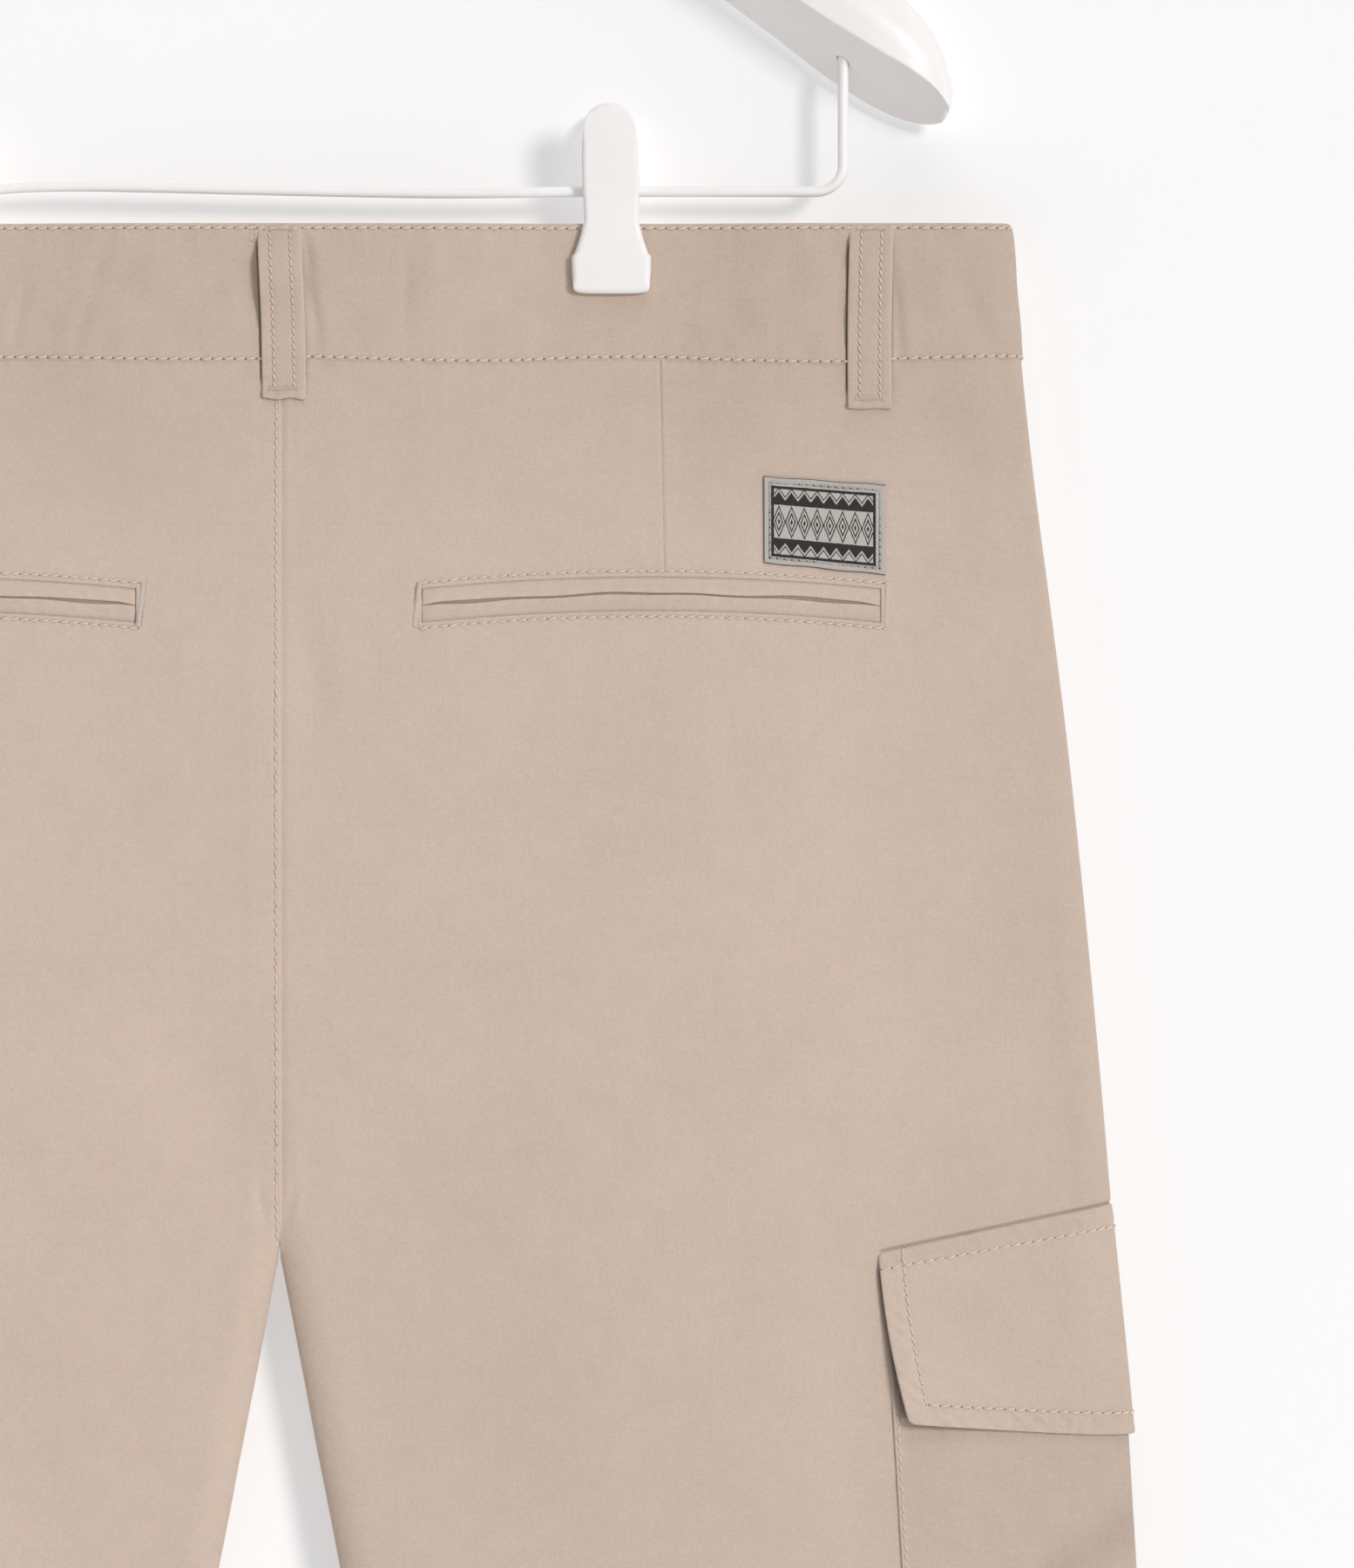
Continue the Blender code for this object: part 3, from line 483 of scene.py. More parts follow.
def slab(name, points, normals, base, half, u, v, relief=0.0, finish="twill", tone=0.0):
    # A thin closed wall over a grid: its middle lies base above the grid, and its faces half above and
    # below that, drawn together at the border in a half round. Relief moves the outer face only.
    rows, columns = points.shape[:2]
    border = borderDistance(points)
    full = halfRound(border, half)
    outer = points + normals * (base + half * full + relief)[..., None]
    inner = points + normals * (base - half * full)[..., None]
    outerIndex = np.arange(rows * columns).reshape(rows, columns)
    innerIndex = outerIndex.copy()
    innerIndex[1:-1, 1:-1] = rows * columns + np.arange((rows - 2) * (columns - 2)).reshape(rows - 2, -1)
    flat = gridFaces(rows, columns)
    r, c = rows // 2, columns // 2
    turn = np.cross(points[r, c + 1] - points[r, c], points[r + 1, c] - points[r, c]) @ normals[r, c]
    outside, inside = outerIndex.ravel()[flat], innerIndex.ravel()[flat][:, ::-1]
    faces = [outside, inside] if turn > 0 else [outside[:, ::-1], inside[:, ::-1]]
    uv = np.stack([np.broadcast_to(u, border.shape), np.broadcast_to(v, border.shape)], -1) / mm
    # Edge wear, and a tone that is mostly painted shade, from the place on the shorts and the piece's own tone.
    worn = np.stack([np.exp(-border / (1.1 * mm)), paintedShadeAt(points) + tone], -1)
    both = [np.concatenate([a.reshape(rows * columns, -1), b[1:-1, 1:-1].reshape(-1, b.shape[2])])
            for a, b in ((outer, inner), (uv, uv), (worn, worn * (0, 1)))]
    return newPiece(name, both[0], faces, finish, both[1], both[2])


def loft(name, rings, finish, uv=None):
    # A closed solid through rings of points, rows by corners, with a face over each end.
    rows, corners = rings.shape[:2]
    ends = [np.arange(corners)[None, ::-1], (rows - 1) * corners + np.arange(corners)[None]]
    piece = newPiece(name, rings, [gridFaces(rows, corners, wrap=True), *ends], finish, uv)
    outward(piece)
    return piece


def outward(piece):
    # Turns a closed mesh's faces out, if they point in.
    mesh = piece.data
    mesh.calc_loop_triangles()
    points = np.empty(len(mesh.vertices) * 3)
    mesh.vertices.foreach_get("co", points)
    triangles = np.empty(len(mesh.loop_triangles) * 3, np.int32)
    mesh.loop_triangles.foreach_get("vertices", triangles)
    corners = points.reshape(-1, 3)[triangles.reshape(-1, 3)]
    if np.linalg.det(corners - corners.mean(axis=(0, 1))).sum() < 0:
        mesh.flip_normals()


def sweep(name, path, side, radii, sides, finish):
    # A round section carried along a path. side is a direction square to the path, for the whole of it
    # or at each of its points.
    side = np.broadcast_to(side, path.shape)
    ring = circle(sides, side, np.cross(unit(np.gradient(path, axis=0)), side))
    return loft(name, path[:, None] + ring * np.asarray(radii)[:, None, None], finish)


# ---- the tube that all cloth lies on, in the sizes of the modelled panels

tube = dict(
    drop=[0, 40, 75, 110, 150, 190, 240, 285, 400, 550],
    halfWidth=[218.2, 221.3, 225.0, 229.5, 234.5, 238.8, 243.6, 247.5, 254.9, 263.5],
    depth=[5.0, 5.3, 6.6, 8.0, 9.2, 10.0, 10.3, 10.5, 11.0, 12.0],
    fold=[15, 16, 14, 12, 10, 9, 9, 9, 9, 9],
    sideFlat=0.48, sideReach=115 * mm,  # the share of its depth lost towards the side fold
    innerFlat=0.50, innerReach=130 * mm, innerRise=170 * mm,  # and towards the inseam
    wall=1.0 * mm,
    bandWall=2.0 * mm,
    crotchDrop=307.8 * mm,
    crotchRounding=26 * mm,
    inseamFold=11 * mm,
    hemDrop=550 * mm,
    legSpread=0.193,
    seamGap=0.04 * mm,  # between the front and back halves
)
clip = dict(x=99 * mm, halfWidth=14 * mm, fadeWidth=45 * mm, drop=24 * mm, fadeDrop=85 * mm)

# Creases and soft swells of each side: X and drop of both ends, then width and height, all in mm.
seatCreases = [
    (-57, 48, -34, 98, 13, -0.75), (28, 46, 74, 102, 15, -0.65), (36, 84, 66, 91, 8, 0.35),
    (-50, 80, -12, 90, 9, 0.35), (3, 116, 9, 158, 8, -0.5), (-30, 228, -5, 300, 13, -0.9),
    (8, 234, 36, 294, 13, -0.85), (58, 140, 76, 236, 20, -0.45), (98, 128, 112, 214, 19, 0.4),
    (222, 222, 233, 290, 10, -0.8), (66, 345, 78, 480, 17, -0.55), (96, 325, 108, 440, 20, 0.45),
    (166, 318, 169, 425, 11, -0.7), (150, 440, 160, 545, 16, 0.5), (205, 150, 214, 240, 12, -0.5),
    (150, 120, 166, 205, 16, 0.35), (-72, 338, -82, 470, 18, -0.55), (-122, 320, -110, 436, 20, 0.45),
    (-82, 126, -97, 232, 22, 0.4), (-132, 146, -142, 262, 18, -0.5), (-190, 118, -206, 222, 13, -0.55),
    (-160, 320, -166, 452, 13, -0.6), (120, 250, 128, 330, 18, -0.4), (-28, 130, -22, 205, 9, -0.35),
    (99, 44, 96, 74, 9, -0.5), (-99, 44, -97, 78, 9, -0.5), (130, 46, 148, 70, 8, 0.3),
    (196, 46, 206, 92, 9, -0.45), (18, 60, 22, 108, 7, 0.3), (8, 104, 11, 162, 6, -0.55),
    # in the waistband, by its loops and below them
    (8.4, 3, 8.8, 17, 1.3, -0.75), (8.8, 15, 11.4, 41, 1.8, -1.0), (39, 3, 36.6, 40, 1.7, -0.42),
    (-50, 3, -57, 24, 2.6, -0.50), (-55.5, 22, -62, 40, 2.3, -0.45), (-75.5, 18, -79.5, 41, 1.9, -0.55),
    (-72, 23, -53, 26, 5, -0.50), (-78, 12, -62, 15, 5, 0.45), (-44, 10, -26, 14, 6, 0.40),
    (-29, 20, -16, 26, 5, -0.50), (43, 8, 51, 12, 5, 0.38), (183.9, 12, 184.8, 47, 1.4, -0.80),
    (202, 11, 211, 39, 4, -0.80), (190, 5, 199, 15, 4, 0.50), (212, 14, 216, 33, 3.5, 0.45),
    (150, 4, 158, 19, 5, -0.50), (136, 22, 150, 33, 4, 0.35), (166.5, 5, 167.2, 40, 2.2, -0.30),
    (62, 6, 74, 33, 6, -0.35), (118, 18, 126, 36, 5, -0.30), (-12, 5, -14, 38, 3.0, 0.30),
    (8.0, 43.0, 18.2, 42.5, 0.9, -0.85), (17, 43, 25, 53, 2.5, -0.42), (-15, 47.5, -9, 43.5, 2.0, -0.36),
    (-20, 54, -40, 70, 6, -0.50), (188, 46, 199, 63, 7, -0.50), (-4, 60, -40, 66, 8, 0.25),
    # at the pockets' ends and along the centre seam
    (-43, 121, -31, 125, 2.4, -0.42), (34, 125, 44, 120.5, 2.4, -0.42), (181, 121, 192, 127, 2.6, -0.30),
    (186, 104, 200, 98, 3.0, -0.25), (-11, 64.4, -2, 65.2, 1.1, -0.30), (-12, 77.2, -2, 76.9, 1.1, -0.34),
    (-10, 85.4, -2, 85.8, 1.0, -0.28), (-12, 96.6, -2, 97.0, 1.2, -0.30), (-9, 107.2, -2, 107.5, 1.1, -0.22),
    (-9, 121, -2, 121.2, 1.1, -0.20), (3, 70.4, 10, 71.0, 1.3, -0.22), (3, 90.8, 9, 90.3, 1.2, -0.20),
    (-8, 284, -2.0, 303, 1.6, -0.40), (4.5, 281, 2.4, 303, 1.5, -0.42), (7, 262, 3.5, 300, 2.5, 0.30),
]
flyCreases = [
    (8, 286, 74, 252, 8, -1.0), (9, 297, 92, 300, 8, -0.9), (-8, 288, -66, 250, 8, -1.0),
    (-9, 298, -88, 306, 8, -0.85), (6, 262, 44, 214, 9, -0.7), (-6, 266, -38, 206, 9, -0.6),
    (99, 42, 90, 140, 12, -0.8), (-99, 42, -93, 132, 12, -0.8), (150, 60, 172, 190, 17, 0.6),
    (-152, 70, -168, 200, 17, 0.55), (212, 120, 228, 250, 11, -0.7), (-208, 140, -226, 262, 11, -0.7),
    (90, 330, 112, 470, 17, -0.7), (150, 350, 144, 520, 18, 0.6), (-96, 340, -110, 480, 17, -0.65),
    (-150, 360, -146, 530, 18, 0.6), (60, 120, 66, 220, 14, 0.4), (-60, 130, -70, 214, 14, 0.4),
]


def closing(drop):
    return np.clip((drop - tube["crotchDrop"] + tube["crotchRounding"]) / tube["crotchRounding"], 0, 1)


def innerEdge(drop):
    leg = tube["legSpread"] * np.maximum(drop - tube["crotchDrop"], 0)
    return tube["seamGap"] + tube["wall"] / 2 * closing(drop) ** 8 + leg


def outerEdge(drop):
    return curveThrough(tube["drop"], tube["halfWidth"], drop / mm) * mm - tube["wall"] / 2


def squaredDepth(x, drop):
    # Square of the tube's half depth. It falls to 0 at the side fold and, below the crotch, at the inseam.
    depth = curveThrough(tube["drop"], tube["depth"], drop / mm) * mm
    across = 1 - ease((abs(abs(x) - clip["x"]) - clip["halfWidth"]) / clip["fadeWidth"])
    pinch = across * (1 - ease((drop - clip["drop"]) / clip["fadeDrop"]))
    depth = depth * (1 - pinch) + (tube["bandWall"] / 2 + 0.2 * mm) * pinch
    fold = curveThrough(tube["drop"], tube["fold"], drop / mm) * mm
    fromSide, fromInner = outerEdge(drop) - abs(x), abs(x) - innerEdge(drop)
    low = ease((drop - 30 * mm) / (70 * mm))
    depth = depth * (1 - tube["sideFlat"] * low * (1 - ease(fromSide / tube["sideReach"])))
    near = ease((drop - tube["crotchDrop"] + tube["innerRise"]) / tube["innerRise"])
    depth = depth * (1 - tube["innerFlat"] * near * (1 - ease(fromInner / tube["innerReach"])))
    side = np.sin(math.pi / 2 * np.minimum(fromSide / fold, 1))
    inseam = np.sin(math.pi / 2 * np.minimum(fromInner / tube["inseamFold"], 1))
    return depth**2 * side * (1 - closing(drop) ** 2 * (1 - inseam))


def creaseHeight(face, x, drop):
    # Each crease is a soft bell across its line, tapering to both ends. All fade out at the side folds.
    height = np.zeros(np.broadcast(face, x, drop).shape)
    for side, creases in ((-1, seatCreases), (1, flyCreases)):
        total = np.zeros_like(height)
        for x0, drop0, x1, drop1, width, tall in creases:
            start, run = np.array([x0, drop0]), np.array([x1 - x0, drop1 - drop0])
            along = ((x / mm - start[0]) * run[0] + (drop / mm - start[1]) * run[1]) / (run @ run)
            away = ((x / mm - start[0]) * run[1] - (drop / mm - start[1]) * run[0]) / np.hypot(*run)
            away = away + 0.35 * width * np.sin(along * 3.3 + x0)  # no crease is quite straight
            taper = np.clip(1 - (2 * along - 1) ** 2 * 0.8, 0, 1) ** 1.5
            total += tall * taper * hump(away / width)
        swell = 0.16 * np.sin(x / mm / 17 + 1.7 * np.sin(drop / mm / 41)) * np.sin(drop / mm / 29 + side)
        swell = swell + 0.07 * np.sin(x / mm / 6.3 + drop / mm / 19) * np.sin(drop / mm / 11 - x / mm / 23)
        height = np.where(face == side, total + swell, height)
    inFold = ease((outerEdge(drop) - abs(x)) / (9 * mm))
    return height * mm * inFold


def onTube(face, x, drop):
    # Points and outward directions on one face of the tube, creases included.
    face, x, drop = np.broadcast_arrays(np.asarray(face, float), np.asarray(x, float), np.asarray(drop, float))
    step = 0.01 * mm
    squared = squaredDepth(x, drop)
    across = squaredDepth(x + step, drop) - squaredDepth(x - step, drop)
    down = squaredDepth(x, drop + step) - squaredDepth(x, drop - step)
    y = face * np.sqrt(np.maximum(squared, 0))
    normals = unit(np.stack([-across, 4 * step * y, down], -1))
    points = np.stack([x, y + face * tube["seamGap"], waistZ - drop], -1)
    return points + normals * creaseHeight(face, x, drop)[..., None], normals


def pucker(along, pitch, seed):
    # Uneven ripples along a seam, about -1 to 1. along and pitch are in metres.
    t = along / pitch * 2 * math.pi
    return 0.6 * np.sin(t + 1.3 * np.sin(t / 4.7 + seed)) + 0.4 * np.sin(t * 0.61 + 2.1 * seed)


# ---- stitches: rows of short thread beads that dive into the cloth at both ends

stitch = dict(
    pitch=3.3 * mm, length=0.86, radius=0.31 * mm, slant=0.32 * mm, rings=[-1, -0.62, 0, 0.62, 1],
    tackRadius=0.22 * mm, tackHole=0.19 * mm, holeDepth=0.07 * mm, holeLift=0.02 * mm,
)
stitchStore, holeStore = {}, {}


def alongPath(path, values, at):
    run = np.concatenate([[0], np.cumsum(np.linalg.norm(np.diff(path, axis=0), axis=1))])
    return np.stack([np.interp(at, run, column) for column in values.T], -1)


def beadRings(centre, out, side, radius, lift):
    # Six-sided beads of thread along lines of five points. Each rises in a low arch and narrows at its ends.
    t = np.array(stitch["rings"])
    arch = radius * lift * (1.15 * (1 - t**2) - 0.75 * t**4 + 0.1)
    centre = centre + out * arch[:, None]
    thick = radius * np.sqrt(1 - 0.72 * t**4)
    points = centre[:, :, None] + circle(6, out, side) * thick[:, None, None]
    u = np.broadcast_to(t[None, :, None] * 0.5, points.shape[:3])
    v = np.broadcast_to(np.arange(6)[None, None] / 6, points.shape[:3])
    return points, np.stack([u, v], -1)


def pierce(group, places, outs, radius):
    holeStore.setdefault(group, []).append((places, unit(outs), np.full(len(places), radius)))


def sew(group, path, normals, pitch=None, radius=None, slant=None, length=None, lift=1.0, hole=0.95):
    # A stitch at every pitch of a path, its ends stepped to either side. A group becomes one mesh.
    pitch, radius = pitch or stitch["pitch"], radius or stitch["radius"]
    slant = stitch["slant"] if slant is None else slant
    total = np.linalg.norm(np.diff(path, axis=0), axis=1).sum()
    count = max(1, round(total / pitch))
    pitch = total / count
    t = np.array(stitch["rings"])
    at = (np.arange(count) + 0.5)[:, None] * pitch + t * pitch * (length or stitch["length"]) / 2
    centre, out = alongPath(path, path, at), unit(alongPath(path, normals, at))
    side = np.cross(out, unit(centre[:, -1:] - centre[:, :1]))
    values = beadRings(centre + side * (slant * t)[:, None], out, side, radius, lift)
    stitchStore.setdefault(group, []).append(values)
    gaps = np.arange(count + 1) * pitch
    pierce(group, alongPath(path, path, gaps), alongPath(path, normals, gaps), radius * hole)


def bartack(group, path, normals, width, pitch=0.50 * mm):
    # Close zigzag stitches: short threads set square to the path, each leaning a little.
    total = np.linalg.norm(np.diff(path, axis=0), axis=1).sum()
    at = np.linspace(0, total, max(2, round(total / pitch)))
    place, out = alongPath(path, path, at), alongPath(path, normals, at)
    ahead = unit(alongPath(path, path, at + 0.2 * mm) - alongPath(path, path, at - 0.2 * mm))
    across = np.cross(out, ahead) * width * (1 + 0.10 * np.sin(np.arange(len(at)) * 2.4))[:, None]
    t = np.array(stitch["rings"]) / 2
    centre = place[:, None] + across[:, None] * t[:, None] + ahead[:, None] * (t * pitch)[:, None]
    outs, side = np.repeat(out[:, None], 5, axis=1), np.repeat(ahead[:, None], 5, axis=1)
    values = beadRings(centre, outs, side, stitch["tackRadius"], 1.2)
    stitchStore.setdefault(group, []).append(values)
    for end in (-0.5, 0.5):
        pierce(group, (place + across * end)[::2], out[::2], stitch["tackHole"])


def sixSided(name, points, finish, uv):
    # One mesh of many small closed solids through rings of six points, with two quads over each end.
    count, rings = points.shape[:2]
    first = np.arange(count)[:, None, None] * rings * 6
    cap = np.array([[0, 1, 2, 3], [0, 3, 4, 5]])
    faces = [gridFaces(rings, 6, wrap=True), 5 - cap, cap + (rings - 1) * 6]
    outward(newPiece(name, points, [(first + part).reshape(-1, 4) for part in faces], finish, uv))


def makeStitches(group, finish):
    points, uv = (np.concatenate(part) for part in zip(*stitchStore[group]))
    sixSided(f"stitches_{group}", points, finish, uv)


def makeNeedleHoleShadows(group, finish):
    # Painted shadow at each needle hole: a small dark lens in the surface.
    places, outs, radius = (np.concatenate(part) for part in zip(*holeStore[group]))
    across = unit(np.cross(outs, (0.3, 0.2, 1.0)))
    rim = circle(6, across, np.cross(outs, across)) * radius[:, None, None]
    thick = outs[:, None] * stitch["holeDepth"]
    middle = places[:, None] + outs[:, None] * stitch["holeLift"]
    rings = np.stack([middle + rim * 0.4 - thick, middle + rim, middle + rim * 0.4 + thick], 1)
    sixSided(f"needle_hole_shadows_{group}", rings, finish, np.zeros((*rings.shape[:3], 2)))


# ---- seat pockets: sizes shared by the panels, the welts and their stitches

welt = dict(
    fromX=42.4 * mm, toX=179.3 * mm,  # ends of the opening in the panel
    top=105.4 * mm, mouth=110.6 * mm, bottom=115.8 * mm,  # drops at its middle
    arch=3.5 * mm,  # how far its ends hang below its middle
    recess=0.95 * mm, lip=0.22 * mm, stitchGap=1.55 * mm,
    thickness=0.62 * mm, sunk=0.30 * mm,
)


def weltArch(x):
    # How far the pocket's lines hang below their middle at x, and nothing well outside the pocket.
    middle, half = (welt["fromX"] + welt["toX"]) / 2, (welt["toX"] - welt["fromX"]) / 2
    t = abs(abs(x) - middle) / half
    return welt["arch"] * np.minimum(t * t, 1.2) * (1 - ease((t - 1.08) / 0.3))


def weltDistance(x, drop):
    # Signed distance to the opening's edge, less than 0 inside it.
    level = drop - weltArch(x)
    across = abs(abs(x) - (welt["fromX"] + welt["toX"]) / 2) - (welt["toX"] - welt["fromX"]) / 2
    down = abs(level - (welt["top"] + welt["bottom"]) / 2) - (welt["bottom"] - welt["top"]) / 2
    return np.maximum(across, down)


# ---- cargo pockets: sizes shared by the panels, the pockets and their flaps

cargo = dict(
    halfWidth=69.0 * mm, mouth=301 * mm, bottom=472 * mm, slope=0.205, thickness=0.8 * mm,
    stitchInset=1.9 * mm, corner=7 * mm, bulge=0.7 * mm,
    flapTop=292.4 * mm, flapPoint=361 * mm, flapRise=16.8 * mm, flapTopHalf=70.3 * mm, flapBottomHalf=64.8 * mm,
    flapThickness=1.0 * mm, flapSeam=9 * mm, flapInset=6.5 * mm, flapCorner=2.5 * mm, topCorner=1.8 * mm,
    pressed=0.75 * mm,  # how far the flap's sewn edge is pressed down
    gapShade=0.60,  # painted shade in the gap at a flap's free edge
)


def roundSide(side, around, drop):
    # Points round the side fold: around is the distance from it in X, positive on the seat side.
    face = np.where(around >= 0, -1.0, 1.0)
    return onTube(face, side * (outerEdge(drop) - abs(around)), drop)


def atFold(around):
    return 1 - ease(abs(around) / (12 * mm))


def sideHollow(around, drop):
    # How far what lies under a flap is pulled in at the side fold, so that the layers end nearly flush.
    below = drop - cargo["flapTop"] - cargo["slope"] * around
    share = below / (cargo["flapPoint"] - cargo["flapTop"])
    deep = np.clip(1.35 - 2.1 * share, 0, 1.35) * mm
    return deep * atFold(around) * ease((below + 0.3 * mm) / (1.2 * mm))


def fromFlapTop(face, x, drop):
    # Distance below the line of a flap's top edge, and 1 beside that edge, fading beyond its ends.
    around = -face * (outerEdge(drop) - abs(x))
    beside = ease((cargo["flapTopHalf"] + 0.3 * mm - abs(around)) / (1.5 * mm))
    return drop - cargo["flapTop"] - cargo["slope"] * around, beside


def flapBottom(around):
    rise = cargo["flapRise"] * (abs(around) / cargo["flapBottomHalf"]) ** 1.1
    return cargo["flapPoint"] + cargo["slope"] * around - rise


def flapShade(around, drop, spread):
    # Painted shade: the cloth is darker in the gap at a flap's free side edge, and the gap widens by the spread
    # towards its lower corner.
    top = cargo["flapTop"] + cargo["slope"] * around
    down = np.clip((drop - top) / (flapBottom(around) - top), 0, 1)
    past = abs(around) - cargo["flapTopHalf"] * (1 - down**2) - cargo["flapBottomHalf"] * down**2
    reach = 0.6 * mm + spread * down
    return cargo["gapShade"] * hump(np.maximum(past, 0) / reach) * ease(down / 0.15) * ease((1 - down) / 0.07)


# ---- belt loops: sizes shared with the cloth under them

loop = dict(
    width=13.2 * mm, thickness=1.15 * mm, top=0.3 * mm, stitchInset=3.5 * mm,
    corner=0.9 * mm, pressed=0.9 * mm,  # how far its top is pressed into the waistband
    coveredShade=0.66, farShade=0.085,  # painted shade of the cloth under it, up to its near edge, and along its far edge
    # middle X, how far the foot leans sideways, the foot's drop and how far it stands off, in mm, the face
    # and how wavy its foot is
    places=[("belt_loop_centre_back", 0.0, 1.6, 52.6, 2.9, -1, 0.28),
            ("belt_loop_back_right", 176.6, -0.6, 55.6, 0.35, -1, 0.10),
            ("belt_loop_back_left", -176.6, 0.6, 55.6, 0.9, -1, 0.15),
            ("belt_loop_front_right", 132, 0.5, 54, 1.8, 1, 0.2),
            ("belt_loop_front_left", -132, -0.5, 54, 1.8, 1, 0.2)],
)


def loopMiddle(drop, middle, lean, foot):
    # X of a loop's middle line: it leans towards its foot and bows a little.
    share = (drop - loop["top"]) / (foot * mm - loop["top"])
    return (middle + lean * share) * mm + 0.35 * mm * np.sin(math.pi * share) * (1 if lean >= 0 else -1)


def loopShade(x, drop):
    # Painted shade: the cloth is darker where a back loop covers it, up to a narrow shadow line along its near
    # edge.
    shade = 0 * x
    for name, middle, lean, foot, stand, face, wave in loop["places"]:
        if face < 0:
            beside = abs(x - loopMiddle(drop, middle, lean, foot) + 0.4 * mm)
            covered = ease((drop - 5 * mm) / (3 * mm)) * (1 - ease((drop - (foot - 7) * mm) / (4 * mm)))
            shade = shade + loop["coveredShade"] * ease((7.0 * mm - beside) / (0.45 * mm)) * covered
            past = x - loopMiddle(drop, middle, lean, foot) - loop["width"] / 2  # and a faint painted shade along the far edge
            faint = ease((drop - 3 * mm) / (8 * mm)) * (1 - ease((drop - 44 * mm) / (12 * mm)))
            uneven = 0.7 + 0.3 * np.sin(drop / mm / 4.1 + middle)
            shade = shade + loop["farShade"] * np.exp(-abs(past) / (2.2 * mm)) * (past > 0) * faint * uneven
    return shade


# ---- panels

panel = dict(
    top=39.4 * mm,
    backLap=0.75 * mm,  # the left back crosses the middle by this, over the right one
    frontLap=1.4 * mm,  # and so does the left front, along the fly
    tuck=-0.6 * mm,  # the right ones run on under them to here
    tuckDepth=0.44 * mm,
    lapLift=0.11 * mm,
    seamWidth=9 * mm,  # the pressed seam allowance under the lap
    flyEnd=190 * mm,
    dartX=(113.4 * mm, 114.8 * mm),  # at the waistband and at the pocket
    hemStitch=525 * mm,
    gridWidth=229.0,  # mm that the grid's columns are laid out over, before they follow the side seam
)


def panelGrid(face):
    # X and drop of a panel's grid lines. Columns gather at the seams, the dart and the pocket's ends, and
    # rows at the waistband, the pocket, which they follow, and the hem.
    width = panel["gridWidth"]
    if face < 0:
        fine = [(0.35, 12, 0.75), (4.4, 6.8, 0.3), (38, 46, 0.6), (41.6, 43.2, 0.2), (112.2, 116, 0.3),
                (168.6, 170.6, 0.3), (176, 184, 0.6), (178.5, 180.1, 0.2), (184.9, 194, 0.9)]
        rows = [(40.3, 52, 0.9), (52, 100, 1.6), (101, 120.5, 1.0), (103.4, 104.4, 0.25), (104.9, 106.0, 0.16),
                (115.2, 116.4, 0.16), (116.9, 117.9, 0.25)]
    else:
        fine = [(0.35, 12, 0.9), (28, 44, 1.0)]
        rows = [(40.3, 52, 1.3), (52, 120, 3)]
    columns = np.concatenate([
        spaced((12, width - 66, 3), *fine), np.array([0, 0.067, 0.15, 0.25, 0.4, 0.6, 0.85]) * mm,
        (width - 66 * np.linspace(0, 1, 46) ** 2) * mm,
    ])
    rows = spaced(*rows, (121, 130, 1.5), (132, 289, 3.5), (290.4, 293.6, 0.25), (295, 314, 1.5),
                  (317, 518, 4.2), (520, 549, 1.6))
    rows = np.concatenate([rows, panel["top"] + np.array([0, 0.067, 0.25, 0.6]) * mm,
                           tube["hemDrop"] - np.array([0, 0.067, 0.25, 0.5]) * mm])
    return distinct(columns), distinct(rows)


def panelLap(face, drop):
    # How far the left panel of a face crosses the middle.
    alongFly = 1 - ease((drop - panel["flyEnd"]) / (12 * mm)) if face > 0 else 0 * drop
    return panel["backLap"] + (panel["frontLap"] - panel["backLap"]) * alongFly


def inTorso(drop):
    return 1 - ease((drop - tube["crotchDrop"] + 12 * mm) / (12 * mm))


def panelSink(side, face, x, drop):
    # The right panel's edge dips where it runs under the left one's.
    if side < 0:
        return 0 * x * drop
    return -panel["tuckDepth"] * (1 - ease((x - panelLap(face, drop) - 0.1 * mm) / (1.5 * mm))) * inTorso(drop)


